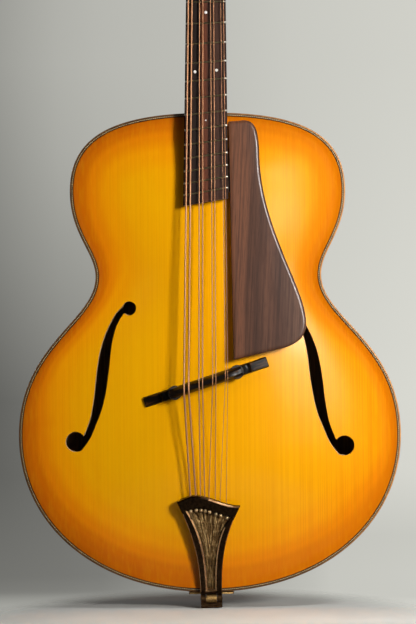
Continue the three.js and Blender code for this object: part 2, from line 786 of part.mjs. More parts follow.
const NUT_TOP = BOARD_THICKNESS + FRET_HEIGHT + STRING_OVER_NUT - GAP;
add(neckFrame, 'nut', loft([
  fanRing(0, GAP, NUT_TOP, 0, GAP),
  fanRing(NUT_BACK_FRET_SHARE, GAP, NUT_TOP - NUT_FALL, 0, -GAP),
]), bone);

// Neck: shaft, heel with its tenon, tongue under the board and headstock, from one piece of wood

const NUT_BACK_UP = fanUp(NUT_BACK_FRET_SHARE, (SCALE_BASS + SCALE_TREBLE) / 2);
const headFrame = new THREE.Group();
headFrame.position.set(0, NUT_BACK_UP, 0);
headFrame.rotation.x = -HEAD_TILT;
neckFrame.add(headFrame);

function shaftRing(fret) {
  const nutward = THREE.MathUtils.clamp(fanUp(fret, SCALE_TREBLE) / NUT_UP, 0, 1);
  const depth = THREE.MathUtils.lerp(NECK_DEPTH_AT_HEEL, NECK_DEPTH_AT_NUT, nutward);
  const ring = [];
  for (let i = 0; i <= SHAFT_SIDES; i += 1) {
    const angle = (Math.PI * i) / SHAFT_SIDES;
    const down = Math.pow(Math.sin(angle), SHAFT_FULLNESS_SHARE);
    ring.push(fanPoint(fret, -Math.cos(angle), -depth * (i % SHAFT_SIDES ? down : 0)));
  }
  return ring;
}

function heelRing(z) {
  const share = (HEEL_TOP - z) / (HEEL_TOP + RIM_FRONT);
  const reach = share < HEEL_FLAT_SHARE ? 0 : (share - HEEL_FLAT_SHARE) / (1 - HEEL_FLAT_SHARE);
  const length = HEEL_CAP_LENGTH + (HEEL_LENGTH - HEEL_CAP_LENGTH) * Math.pow(1 - reach, HEEL_SWEEP_POWER);
  const half = THREE.MathUtils.lerp(boardHalf(0), HEEL_CAP_WIDTH / 2, Math.pow(share, HEEL_TAPER_POWER));
  return heelSection(half, length).map(([x, y]) => new THREE.Vector3(x + NECK_SIDE, y, z));
}

function heelSection(half, length) {
  const points = [];
  for (let i = 0; i <= SHAFT_SIDES; i += 1) {
    const angle = (Math.PI * i) / SHAFT_SIDES;
    const out = i % SHAFT_SIDES ? Math.pow(Math.sin(angle), SHAFT_FULLNESS_SHARE) : 0;
    points.push([half * Math.cos(angle), BODY_TOP + GAP + length * out]);
  }
  return points;
}

function headShape(forward) {
  const half = HEAD_WIDTH / 2;
  const neckHalf = HEAD_NECK_WIDTH / 2;
  const slant = fanUp(NUT_BACK_FRET_SHARE, SCALE_BASS) - NUT_BACK_UP;
  const [shoulder, cheek, crest] = HEAD_UP_SHARES.map((share) => share * HEAD_LENGTH);
  const [cheekHalf, crownHalf] = HEAD_HALF_SHARES.map((share) => share * half);
  const shape = new THREE.Shape();
  shape.moveTo(neckHalf, forward - slant);
  shape.bezierCurveTo(neckHalf, shoulder / 2, cheekHalf, shoulder / 2, cheekHalf, shoulder);
  shape.lineTo(half, cheek);
  shape.quadraticCurveTo(half, crest, crownHalf, crest);
  shape.quadraticCurveTo(crownHalf / 2, HEAD_LENGTH, 0, HEAD_LENGTH);
  shape.quadraticCurveTo(-crownHalf / 2, HEAD_LENGTH, -crownHalf, crest);
  shape.quadraticCurveTo(-half, crest, -half, cheek);
  shape.lineTo(-cheekHalf, shoulder);
  shape.bezierCurveTo(-cheekHalf, shoulder / 2, -neckHalf, shoulder / 2, -neckHalf, forward + slant);
  for (const { x, y } of tunerPlaces()) shape.holes.push(ringPath(x, y, POST_HOLE_RADIUS));
  return shape;
}

function ringPath(x, y, radius, sides = POST_SIDES) {
  const points = [];
  for (let i = 0; i < sides; i += 1) {
    const angle = (2 * Math.PI * i) / sides;
    points.push(new THREE.Vector2(x + radius * Math.cos(angle), y + radius * Math.sin(angle)));
  }
  return new THREE.Path(points);
}

function tunerPlaces() {
  const places = [];
  for (let i = 0; i < STRING_NAMES.length; i += 1) {
    const side = i < TUNERS_PER_SIDE ? -1 : 1;
    const step = side < 0 ? i : STRING_NAMES.length - 1 - i;
    places.push({ side, x: side * TUNER_SIDE, y: TUNER_FIRST_UP + step * TUNER_SPACING });
  }
  return places;
}

const neckToBody = toBody(neckFrame);
const headToBody = toBody(headFrame);
const shaft = loft(SHAFT_FRET_COUNTS.map(shaftRing)).applyMatrix4(neckToBody);
const heelLevels = HEEL_LEVEL_SHARES.map((share) => THREE.MathUtils.lerp(HEEL_TOP, -RIM_FRONT, share));
const heel = loft(heelLevels.map(heelRing));
const tongue = loft([
  fanRing(TONGUE_END_FRET_COUNT, -TONGUE_AT_END, 0, TONGUE_NARROWING),
  fanRing(TONGUE_START_FRET_COUNT, -TONGUE_AT_JOIN, 0, TONGUE_NARROWING / 2),
]).applyMatrix4(neckToBody);
const tenonLength = RIB_THICKNESS + TENON_DEPTH + HEEL_CAP_LENGTH / 2;
const tenonUp = BODY_TOP + HEEL_CAP_LENGTH / 2 - tenonLength / 2;
const tenon = block(TENON_WIDTH, tenonLength, TENON_HEIGHT, 0, tenonUp, 0);
const head = slab(headShape(0), -HEAD_THICKNESS, 0, 4).applyMatrix4(headToBody);

const channelLength = NUT_BACK_UP + ROD_POCKET_START - ROD_START_UP + GAP;
const rodChannel = block(
  ROD_CHANNEL_WIDTH, channelLength, ROD_DOWN + ROD_CHANNEL_WIDTH / 2 + OVERRUN,
  0, ROD_START_UP - GAP + channelLength / 2, (OVERRUN - ROD_DOWN - ROD_CHANNEL_WIDTH / 2) / 2,
).applyMatrix4(neckToBody);
const rodPocket = block(
  ROD_POCKET_WIDTH, ROD_POCKET_LENGTH, ROD_DOWN + ROD_POCKET_WIDTH / 2 + OVERRUN,
  0, NUT_BACK_UP + ROD_POCKET_START + ROD_POCKET_LENGTH / 2, (OVERRUN - ROD_DOWN - ROD_POCKET_WIDTH / 2) / 2,
);
const neck = solid(shaft)
  .add(solid(heel))
  .add(solid(tongue))
  .add(solid(tenon))
  .add(solid(head))
  .subtract(solid(rodChannel))
  .subtract(solid(rodPocket.clone().applyMatrix4(neckToBody)));
add(body, 'neck', geometryOf(neck), neckWood);

const capShape = polygon(heelSection(HEEL_CAP_WIDTH / 2, HEEL_CAP_LENGTH)
  .map(([x, y]) => [x + NECK_SIDE, y]));
add(body, 'heel_cap', slab(capShape, -RIM_FRONT - GAP - HEEL_CAP_THICKNESS, -RIM_FRONT - GAP), ebony);

// Truss rod with its nut, and the headplate with the cover over the pocket

const rodEnd = NUT_BACK_UP + ROD_POCKET_START + ROD_NUT_LENGTH + ROD_END_OVER;
const rodLength = rodEnd - ROD_START_UP;
const rod = roundBar(ROD_DIAMETER / 2, rodLength, POST_SIDES);
rod.translate(0, ROD_START_UP + rodLength / 2, -ROD_DOWN);
add(neckFrame, 'truss_rod', rod, steel);

const hexRadius = ROD_NUT_ACROSS / Math.sqrt(3);
const hexShape = new THREE.Shape(ringPath(0, 0, hexRadius, 6).getPoints());
hexShape.holes.push(ringPath(0, 0, ROD_DIAMETER / 2 + GAP));
const rodNut = slab(hexShape, -ROD_NUT_LENGTH / 2, ROD_NUT_LENGTH / 2).rotateX(-Math.PI / 2);
const rodNutMesh = add(neckFrame, 'truss_rod_nut', rodNut, brass);
rodNutMesh.position.set(0, NUT_BACK_UP + ROD_POCKET_START + GAP + ROD_NUT_LENGTH / 2, -ROD_DOWN);

const headplateFront = GAP + HEADPLATE_THICKNESS;
const headplate = solid(slab(headShape(HEADPLATE_START), GAP, headplateFront, 4))
  .subtract(solid(rodPocket.clone().applyMatrix4(headFrameInverse())));
add(headFrame, 'headplate', geometryOf(headplate), rosewood);

function headFrameInverse() {
  return new THREE.Matrix4().compose(
    headFrame.position, headFrame.quaternion, new THREE.Vector3(1, 1, 1),
  ).invert();
}

const cover = new THREE.Shape();
cover.moveTo(-COVER_WIDTH / 2, COVER_START);
cover.lineTo(COVER_WIDTH / 2, COVER_START);
cover.bezierCurveTo(
  COVER_WIDTH / 2, COVER_START + COVER_LENGTH / 2, COVER_WIDTH / 4, COVER_START + COVER_LENGTH,
  0, COVER_START + COVER_LENGTH,
);
cover.bezierCurveTo(
  -COVER_WIDTH / 4, COVER_START + COVER_LENGTH, -COVER_WIDTH / 2, COVER_START + COVER_LENGTH / 2,
  -COVER_WIDTH / 2, COVER_START,
);
const coverBack = headplateFront + GAP;
add(headFrame, 'truss_rod_cover', slab(cover, coverBack, coverBack + COVER_THICKNESS, 5), ebony);

// Tuners: two plates with lugs, and for each string a post with its gear and a worm with its button

const PLATE_FRONT = -HEAD_THICKNESS - GAP;
const PLATE_BACK = PLATE_FRONT - PLATE_THICKNESS;
const GEAR_FRONT = PLATE_BACK - GEAR_STANDOFF;
const GEAR_BACK = GEAR_FRONT - GEAR_WIDTH;
const WORM_AXIS = (GEAR_FRONT + GEAR_BACK) / 2;
const WORM_OFFSET = WORM_ROOT_RADIUS + GEAR_PITCH_RADIUS + GEAR_ADDENDUM + WORM_MESH_GAP;
const WORM_PITCH = (2 * Math.PI * GEAR_PITCH_RADIUS) / GEAR_TEETH;
const WORM_PITCH_RADIUS = WORM_OFFSET - GEAR_PITCH_RADIUS;
const LUG_OUT = LUG_IN + LUG_THICKNESS;

function tunerPlate(side) {
  const x = side * TUNER_SIDE;
  const low = TUNER_FIRST_UP - WORM_OFFSET - PLATE_END;
  const high = TUNER_FIRST_UP + (TUNERS_PER_SIDE - 1) * TUNER_SPACING + PLATE_END;
  const half = PLATE_WIDTH / 2;
  const shape = new THREE.Shape();
  shape.moveTo(x - half, low + half / 2);
  shape.quadraticCurveTo(x - half, low, x, low);
  shape.quadraticCurveTo(x + half, low, x + half, low + half / 2);
  shape.lineTo(x + half, high - half / 2);
  shape.quadraticCurveTo(x + half, high, x, high);
  shape.quadraticCurveTo(x - half, high, x - half, high - half / 2);
  const places = tunerPlaces().filter((place) => place.side === side);
  for (const place of places) shape.holes.push(ringPath(place.x, place.y, POST_HOLE_RADIUS));
  let plate = solid(slab(shape, PLATE_BACK, PLATE_FRONT, 3));
  const lugDepth = PLATE_BACK - WORM_AXIS + LUG_OVER_SHAFT;
  for (const place of places) {
    const wormUp = place.y - WORM_OFFSET;
    for (const end of [-1, 1]) {
      const lug = block(
        LUG_THICKNESS, LUG_WIDTH, lugDepth + PLATE_THICKNESS / 2,
        place.x + end * (LUG_IN + LUG_THICKNESS / 2), wormUp,
        PLATE_BACK + PLATE_THICKNESS / 4 - lugDepth / 2,
      );
      plate = plate.add(solid(lug));
    }
    const bore = roundBar(SHAFT_RADIUS + BORE_CLEARANCE, PLATE_WIDTH, HOLE_SIDES).rotateZ(Math.PI / 2);
    plate = plate.subtract(solid(bore.translate(place.x, wormUp, WORM_AXIS)));
  }
  return geometryOf(plate);
}

function gearShape() {
  const root = GEAR_PITCH_RADIUS - GEAR_DEDENDUM;
  const tip = GEAR_PITCH_RADIUS + GEAR_ADDENDUM;
  const step = (2 * Math.PI) / GEAR_TEETH;
  const flanks = [
    [root, -GEAR_ROOT_SHARE],
    [tip, -GEAR_TIP_SHARE],
    [tip, GEAR_TIP_SHARE],
    [root, GEAR_ROOT_SHARE],
  ];
  const points = [];
  for (let tooth = 0; tooth < GEAR_TEETH; tooth += 1) {
    const middle = tooth * step - Math.PI / 2;
    for (const [radius, share] of flanks) {
      const angle = middle + (share * step) / 2;
      points.push(new THREE.Vector2(radius * Math.cos(angle), radius * Math.sin(angle)));
    }
  }
  return new THREE.Shape(points);
}

// The teeth lean with the worm's thread from one face of the gear to the other
function helicalGear(side) {
  const geometry = slab(gearShape(), GEAR_BACK, GEAR_FRONT);
  const lead = WORM_PITCH / (2 * Math.PI * WORM_PITCH_RADIUS);
  const position = geometry.attributes.position;
  const corner = new THREE.Vector3();
  for (let i = 0; i < position.count; i += 1) {
    corner.fromBufferAttribute(position, i);
    const turn = (side * lead * (corner.z - WORM_AXIS)) / GEAR_PITCH_RADIUS;
    corner.applyAxisAngle(new THREE.Vector3(0, 0, 1), turn);
    position.setXYZ(i, corner.x, corner.y, corner.z);
  }
  return geometry;
}

function tunerPost(side, stringRadius, holeFront) {
  const back = GEAR_BACK - POST_END_OVER;
  const post = roundBar(POST_RADIUS, POST_FRONT - back, POST_SIDES).rotateX(Math.PI / 2);
  const bore = roundBar(stringRadius + GAP, 4 * POST_RADIUS, HOLE_SIDES).rotateZ(Math.PI / 2);
  return geometryOf(solid(post.translate(0, 0, (POST_FRONT + back) / 2))
    .add(solid(helicalGear(side)))
    .subtract(solid(bore.translate(0, 0, holeFront))));
}

// Worm, shaft and button as rings along the shaft, from the inner lug out to the button's end
function wormAndButton(side) {
  const threadLength = WORM_TURNS * WORM_PITCH;
  const buttonStart = HEAD_WIDTH / 2 + BUTTON_CLEARANCE - TUNER_SIDE;
  const rings = [];
  const ring = (x, radiusAt, flat = 1) => {
    const points = [];
    for (let i = 0; i < WORM_SIDES; i += 1) {
      const angle = (2 * Math.PI * i) / WORM_SIDES;
      const radius = radiusAt(i);
      points.push(new THREE.Vector3(side * x, radius * Math.cos(angle), radius * flat * Math.sin(angle)));
    }
    rings.push(points);
  };
  const plain = () => SHAFT_RADIUS;
  ring(-LUG_OUT - SHAFT_END_OVER, plain);
  ring(-threadLength / 2 - WORM_PITCH / WORM_SIDES, plain);
  const steps = Math.round(WORM_TURNS * WORM_SIDES);
  for (let k = 0; k <= steps; k += 1) {
    const x = -threadLength / 2 + ((k + 1 / 2) * WORM_PITCH) / WORM_SIDES;
    const onThread = (i) => ((i - k + WORM_PHASE + steps * WORM_SIDES) % WORM_SIDES) < WORM_TIP_STEPS;
    ring(x, (i) => (onThread(i) ? WORM_RADIUS : WORM_ROOT_RADIUS));
  }
  ring(threadLength / 2 + (2 * WORM_PITCH) / WORM_SIDES, plain);
  ring(buttonStart, plain);
  const flatness = BUTTON_THICKNESS / BUTTON_WIDTH;
  for (const [along, wide] of BUTTON_SHARES) {
    ring(buttonStart + along * BUTTON_LENGTH, () => (wide * BUTTON_WIDTH) / 2, flatness);
  }
  return loft(rings);
}

add(headFrame, 'tuner_plate_bass', tunerPlate(-1), brass);
add(headFrame, 'tuner_plate_treble', tunerPlate(1), brass);

// Winding heights on the posts: the string enters the post high up and turns down towards the headplate
function windingStep(i) {
  return STRING_DIAMETERS[i] + WINDING_CLEARANCE;
}

function windingTop(i) {
  return headplateFront + WINDING_CLEARANCE + (WINDING_TURNS + 1) * windingStep(i);
}

tunerPlaces().forEach(({ side, x, y }, i) => {
  const post = tunerPost(side, STRING_DIAMETERS[i] / 2, windingTop(i));
  add(headFrame, `tuner_post_${STRING_NAMES[i]}`, post, brass).position.set(x, y, 0);
  const worm = add(headFrame, `tuner_worm_${STRING_NAMES[i]}`, wormAndButton(side), steel);
  worm.position.set(x, y - WORM_OFFSET, WORM_AXIS);
});

// Bridge: base fitted to the top, two studs with thumbwheels, and the saddle that they carry

const bridgeFrame = new THREE.Group();
bridgeFrame.position.set(BRIDGE_SIDE, TAIL_UP + BRIDGE_UP, 0);
bridgeFrame.rotation.z = BRIDGE_SLANT;
body.add(bridgeFrame);
const bridgeToBody = toBody(bridgeFrame);

function plateUnderBridge(along) {
  return topFront(
    BRIDGE_SIDE + along * Math.cos(BRIDGE_SLANT),
    TAIL_UP + BRIDGE_UP + along * Math.sin(BRIDGE_SLANT),
  );
}

const BASE_FRONT = plateUnderBridge(0) + BASE_RISE;
const WHEEL_BACK = BASE_FRONT + WHEEL_LIFT;
const SADDLE_BACK = WHEEL_BACK + WHEEL_THICKNESS + GAP;

function bridgeBase() {
  const half = BASE_LENGTH / 2;
  const stations = [];
  BASE_STEP_SHARES.forEach((share, i) => {
    const local = (along) => plateUnderBridge(along) + BASE_STEP_RISE_SHARES[i] * BASE_RISE;
    const front = (along) => (i === 0 ? BASE_FRONT : local(along));
    stations.push([share * half, front(share * half)], [-share * half, front(-share * half)]);
  });
  stations.push([0, BASE_FRONT]);
  stations.sort((a, b) => a[0] - b[0]);
  const [wide, narrow] = [BASE_WIDTH / 2, BASE_WIDTH / 2 - BASE_SIDE_TAPER];
  const rings = stations.map(([along, front]) => {
    const sunk = plateUnderBridge(along) - PLATE_MIDDLE / 2;
    return [
      new THREE.Vector3(along, -wide, sunk),
      new THREE.Vector3(along, wide, sunk),
      new THREE.Vector3(along, narrow, front),
      new THREE.Vector3(along, -narrow, front),
    ];
  });
  let base = solid(loft(rings).applyMatrix4(bridgeToBody)).subtract(topBlank.translate([0, 0, GAP]));
  for (const end of [-1, 1]) {
    const bore = roundBar(STUD_RADIUS + GAP, 2 * (STUD_SUNK + GAP), POST_SIDES).rotateX(Math.PI / 2);
    bore.translate((end * POST_SPACING) / 2, 0, BASE_FRONT);
    base = base.subtract(solid(bore.applyMatrix4(bridgeToBody)));
  }
  return geometryOf(base);
}
add(body, 'bridge_base', bridgeBase(), ebony);

// Front height of the strings' undersides where they cross the saddle
function stringsFront(along) {
  const up = BRIDGE_UP + TAIL_UP + along * Math.sin(BRIDGE_SLANT) - BODY_TOP;
  const fromBoard = (BOARD_THICKNESS + STRING_OVER_SADDLE) / Math.cos(NECK_PITCH);
  return GLUE_FRONT + fromBoard - up * Math.tan(NECK_PITCH);
}

function bridgeSaddle() {
  const half = SADDLE_LENGTH / 2;
  const flatHalf = SADDLE_SPREAD / 2 / Math.cos(BRIDGE_SLANT) + SADDLE_WIDTH / 2 - SADDLE_SHOULDER;
  const stations = [
    [-half, SADDLE_END_DROP],
    [-(half + flatHalf) / 2, SADDLE_END_DROP / 2],
    [-flatHalf, 0],
    [flatHalf, 0],
    [(half + flatHalf) / 2, SADDLE_END_DROP / 2],
    [half, SADDLE_END_DROP],
  ];
  const rings = stations.map(([along, drop]) => {
    const front = stringsFront(along) - GAP - drop;
    const middle = THREE.MathUtils.lerp(SADDLE_BACK, front, SADDLE_WAIST_SHARE);
    return [
      new THREE.Vector3(along, -SADDLE_WIDTH / 2, SADDLE_BACK),
      new THREE.Vector3(along, SADDLE_WIDTH / 2, SADDLE_BACK),
      new THREE.Vector3(along, SADDLE_WIDTH / 2, middle),
      new THREE.Vector3(along, SADDLE_TOP_WIDTH / 2, front),
      new THREE.Vector3(along, -SADDLE_TOP_WIDTH / 2, front),
      new THREE.Vector3(along, -SADDLE_WIDTH / 2, middle),
    ];
  });
  let saddle = solid(loft(rings));
  const depth = STUD_IN_SADDLE + SADDLE_DROP_RANGE + GAP;
  for (const end of [-1, 1]) {
    const bore = roundBar(STUD_RADIUS + GAP, 2 * depth, POST_SIDES).rotateX(Math.PI / 2);
    saddle = saddle.subtract(solid(bore.translate((end * POST_SPACING) / 2, 0, SADDLE_BACK)));
  }
  return geometryOf(saddle);
}
add(bridgeFrame, 'bridge_saddle', bridgeSaddle(), ebony);

function thumbwheel() {
  const points = [];
  for (let i = 0; i < 2 * WHEEL_NOTCHES; i += 1) {
    const angle = (Math.PI * i) / WHEEL_NOTCHES;
    const radius = WHEEL_RADIUS - (i % 2) * WHEEL_NOTCH_DEPTH;
    points.push(new THREE.Vector2(radius * Math.cos(angle), radius * Math.sin(angle)));
  }
  const shape = new THREE.Shape(points);
  shape.holes.push(ringPath(0, 0, STUD_RADIUS + GAP));
  return slab(shape, 0, WHEEL_THICKNESS);
}

for (const [name, side] of [['bass', -1], ['treble', 1]]) {
  const along = (side * POST_SPACING) / 2;
  const length = SADDLE_BACK + STUD_IN_SADDLE - BASE_FRONT + STUD_SUNK;
  const stud = roundBar(STUD_RADIUS, length, POST_SIDES).rotateX(Math.PI / 2);
  stud.translate(along, 0, BASE_FRONT - STUD_SUNK + length / 2);
  add(bridgeFrame, `bridge_post_${name}`, stud, steel);
  add(bridgeFrame, `thumbwheel_${name}`, thumbwheel(), steel).position.set(along, 0, WHEEL_BACK);
}

// Tailpiece on its hinge, in line with the pull of the strings

const pull = stringsFront(0) + STRING_DIAMETERS[0] / 2 - HINGE_FRONT;
const TAILPIECE_RISE = Math.atan2(pull, TAIL_UP + BRIDGE_UP - HINGE_UP);
const tailFrame = new THREE.Group();
tailFrame.position.set(0, HINGE_UP, HINGE_FRONT);
tailFrame.rotation.order = 'ZXY';
tailFrame.rotation.set(TAILPIECE_RISE, 0, TAILPIECE_LEAN);
body.add(tailFrame);

function tailpieceOutline() {
  const foot = HINGE_WIDTH / 2;
  const [bassTip, crest, trebleDip, trebleTip] = TAIL_TOP_SHARES.map(
    ([across, up]) => new THREE.Vector2(across * TAILPIECE_WING, up * TAILPIECE_LENGTH),
  );
  const sideCurve = (sign, tip) => [
    new THREE.Vector2(sign * foot, TAIL_SIDE_SHARES[0] * TAILPIECE_LENGTH),
    new THREE.Vector2(sign * TAIL_FLARE_SHARE * TAILPIECE_WING, TAIL_SIDE_SHARES[1] * TAILPIECE_LENGTH),
    tip,
  ];
  const shape = new THREE.Shape();
  shape.moveTo(-foot, -FOOT_BELOW);
  shape.lineTo(foot, -FOOT_BELOW);
  shape.lineTo(foot, TAIL_SIDE_SHARES[2] * TAILPIECE_LENGTH);
  const [t1, t2, t3] = sideCurve(1, trebleTip);
  shape.bezierCurveTo(t1.x, t1.y, t2.x, t2.y, t3.x, t3.y);
  shape.splineThru([trebleDip, crest, bassTip]);
  const [b1, b2] = sideCurve(-1, bassTip);
  shape.bezierCurveTo(b2.x, b2.y, b1.x, b1.y, -foot, TAIL_SIDE_SHARES[2] * TAILPIECE_LENGTH);
  return shape;
}

// The recessed panel keeps the rim's width from the outline and ends under the hood
function tailpiecePanel() {
  const half = HINGE_WIDTH / 2 - PANEL_RIM_AT_FOOT;
  const wide = TAILPIECE_WING - PANEL_RIM_AT_WING;
  const low = PANEL_LOW_SHARE * TAILPIECE_LENGTH;
  const shape = new THREE.Shape();
  shape.moveTo(-half, low);
  shape.lineTo(half, low);
  shape.bezierCurveTo(
    half, TAIL_SIDE_SHARES[0] * TAILPIECE_LENGTH,
    half + PANEL_FLARE_SHARE * wide, TAIL_SIDE_SHARES[1] * TAILPIECE_LENGTH, wide, hoodEdge(wide),
  );
  shape.lineTo(-wide, hoodEdge(-wide));
  shape.bezierCurveTo(
    -half - PANEL_FLARE_SHARE * wide, TAIL_SIDE_SHARES[1] * TAILPIECE_LENGTH,
    -half, TAIL_SIDE_SHARES[0] * TAILPIECE_LENGTH, -half, low,
  );
  return shape;
}

function hoodEdge(x) {
  return HOOD_EDGE_SHARE * TAILPIECE_LENGTH - HOOD_SLOPE * x;
}

function tailX(i) {
  return TAIL_SHARES[i] * TAIL_SPREAD;
}

function tailpiece() {
  const outline = tailpieceOutline();
  const plate = solid(slab(outline, TAILPIECE_BACK, TAILPIECE_FRONT));
  const reach = 2 * TAILPIECE_WING;
  const hoodShape = polygon([
    [-reach, hoodEdge(-reach)],
    [reach, hoodEdge(reach)],
    [reach, 2 * TAILPIECE_LENGTH],
    [-reach, 2 * TAILPIECE_LENGTH],
  ]);
  const hood = solid(slab(outline, TAILPIECE_BACK, HOOD_FRONT))
    .intersect(solid(slab(hoodShape, TAILPIECE_BACK, HOOD_FRONT)));
  const barrel = solid(roundBar(KNUCKLE_RADIUS, HINGE_WIDTH).rotateZ(Math.PI / 2));
  const window = solid(block(
    HINGE_WINDOW, 2 * (KNUCKLE_RADIUS + WINDOW_CLEARANCE), 4 * KNUCKLE_RADIUS, 0, 0, 0,
  ));
  const bore = solid(roundBar(PIN_RADIUS + PIN_CLEARANCE, 2 * HINGE_WIDTH, POST_SIDES).rotateZ(Math.PI / 2));
  let piece = plate
    .subtract(solid(slab(tailpiecePanel(), TAILPIECE_FLOOR, HOOD_FRONT)))
    .add(hood)
    .add(barrel)
    .subtract(window)
    .subtract(bore);
  const holeUp = hoodEdge(0) + TAILPIECE_LENGTH / 2 - HOOD_HOLE_BACK;
  STRING_NAMES.forEach((_, i) => {
    const hole = roundBar(STRING_HOLE_RADIUS, TAILPIECE_LENGTH, HOLE_SIDES);
    piece = piece.subtract(solid(hole.translate(tailX(i), holeUp, 0)));
  });
  return geometryOf(piece);
}
add(tailFrame, 'tailpiece', tailpiece(), bronze);

const pinLength = HINGE_WIDTH + 2 * PIN_OVERHANG;
const hingePin = roundBar(PIN_RADIUS, pinLength, POST_SIDES).rotateZ(Math.PI / 2);
add(tailFrame, 'tailpiece_hinge_pin', hingePin, brass);

// Bracket under the tail: a plate on the ribs whose tongue curls round the hinge pin
function tailBracket() {
  const front = TAIL_UP - GAP;
  const back = front - BRACKET_THICKNESS;
  const half = BRACKET_WIDTH / 2;
  const shape = polygon([
    [-half, BRACKET_BACK],
    [-half, -BRACKET_FRONT],
    [half, -BRACKET_FRONT],
    [half, BRACKET_BACK],
  ]);
  shape.holes.push(ringPath(0, 0, END_BUTTON_SHAFT + GAP, TURNED_SIDES));
  const plate = slab(shape, back, front).rotateX(-Math.PI / 2);
  const tongueHalf = HINGE_WINDOW / 2 - GAP;
  const root = BRACKET_FRONT - 2 * BRACKET_THICKNESS;
  const tongueShape = polygon([
    [root, front],
    [root, back],
    [HINGE_FRONT - KNUCKLE_RADIUS, HINGE_UP - KNUCKLE_RADIUS / 3],
    [HINGE_FRONT, HINGE_UP],
    [HINGE_FRONT - KNUCKLE_RADIUS / 3, HINGE_UP + KNUCKLE_RADIUS * TONGUE_TOP_SHARE],
    [BRACKET_FRONT + GAP, front],
  ]);
  const curl = slab(tongueShape, -tongueHalf, tongueHalf).rotateY(-Math.PI / 2);
  const knuckle = roundBar(KNUCKLE_RADIUS, 2 * tongueHalf).rotateZ(Math.PI / 2);
  const bore = roundBar(PIN_RADIUS + PIN_CLEARANCE, 2 * HINGE_WIDTH, POST_SIDES).rotateZ(Math.PI / 2);
  return geometryOf(solid(plate)
    .add(solid(curl))
    .add(solid(knuckle.translate(0, HINGE_UP, HINGE_FRONT)))
    .subtract(solid(bore.translate(0, HINGE_UP, HINGE_FRONT))));
}
add(body, 'tailpiece_bracket', tailBracket(), brass);

// End button, turned: its face is the lowest point, and its shaft runs through the ribs to the block
const flangeUp = TAIL_UP - 2 * GAP - BRACKET_THICKNESS;
const buttonProfile = [
  [0, 0],
  [END_BUTTON_FACE, 0],
  [END_BUTTON_RADIUS, END_BUTTON_ROUND],
  [END_BUTTON_RADIUS, 2 * END_BUTTON_ROUND],
  [END_BUTTON_NECK, flangeUp * END_BUTTON_NECK_SHARE],
  [END_BUTTON_RADIUS, flangeUp - END_BUTTON_ROUND],
  [END_BUTTON_RADIUS, flangeUp],
  [END_BUTTON_SHAFT, flangeUp],
  [END_BUTTON_SHAFT, TAIL_UP + END_BUTTON_SUNK - END_BUTTON_ROUND],
  [0, TAIL_UP + END_BUTTON_SUNK],
].map(([radius, up]) => new THREE.Vector2(radius, up));
add(body, 'end_button', new THREE.LatheGeometry(buttonProfile, TURNED_SIDES), ebony);

// Finger rest beside the strings, carried by a block on the side of the board
const restInner = boardHalf(REST_TOP_UP) + REST_BOARD_CLEARANCE;
const restShape = new THREE.Shape();
const restPoint = ([across, down]) => [
  restInner + across * (REST_LOWER_WIDE - restInner),
  REST_TOP_UP + down * (REST_LOWER_UP - REST_TOP_UP),
];
restShape.moveTo(...restPoint([0, 0]));
restShape.lineTo(...restPoint([REST_LEFT_SHARE, 1]));
restShape.lineTo(...restPoint(REST_FOOT_SHARES[0]));
restShape.bezierCurveTo(...REST_FOOT_SHARES.slice(1).flatMap(restPoint));
restShape.bezierCurveTo(...REST_SIDE_SHARES.flatMap(restPoint));
restShape.bezierCurveTo(...REST_TOP_SHARES.flatMap(restPoint));
const fingerRest = new THREE.ExtrudeGeometry(restShape, {
  depth: REST_THICKNESS - 2 * REST_BEVEL,
  bevelThickness: REST_BEVEL,
  bevelSize: REST_BEVEL,
  bevelOffset: -REST_BEVEL,
  bevelSegments: 1,
  curveSegments: 7,
});
fingerRest.translate(0, 0, REST_TOP - REST_THICKNESS + REST_BEVEL);
add(neckFrame, 'finger_rest', fingerRest, rosewood);

const blockFront = REST_TOP - REST_THICKNESS - GAP;
const blockInner = boardHalf(REST_BLOCK_UP) + GAP * 2;
add(neckFrame, 'finger_rest_block', block(
  REST_BLOCK_WIDTH, REST_BLOCK_LENGTH, REST_BLOCK_DEPTH,
  blockInner + REST_BLOCK_WIDTH / 2, REST_BLOCK_UP, blockFront - REST_BLOCK_DEPTH / 2,
), ebony);

// Strings: ball end, run over saddle and nut, and the winding round the post, as one tube

class Route extends THREE.Curve {
  constructor(points) {
    super();
    this.points = points;
  }

  getPoint(t) {
    const last = this.points.length - 1;
    const index = Math.min(Math.floor(t * last + 1e-6), last - 1);
    return this.points[index].clone().lerp(this.points[index + 1], t * last - index);
  }

  getPointAt(t) {
    return this.getPoint(t);
  }

  getTangentAt(t) {
    const last = this.points.length - 1;
    const index = Math.round(t * last);
    const along = new THREE.Vector3();
    if (index > 0) along.add(this.points[index].clone().sub(this.points[index - 1]).normalize());
    if (index < last) along.add(this.points[index + 1].clone().sub(this.points[index]).normalize());
    return along.normalize();
  }
}

function tube(points, radius) {
  const section = new THREE.Shape(ringPath(0, 0, radius, STRING_SIDES).getPoints());
  return new THREE.ExtrudeGeometry(section, { steps: points.length - 1, extrudePath: new Route(points) });
}

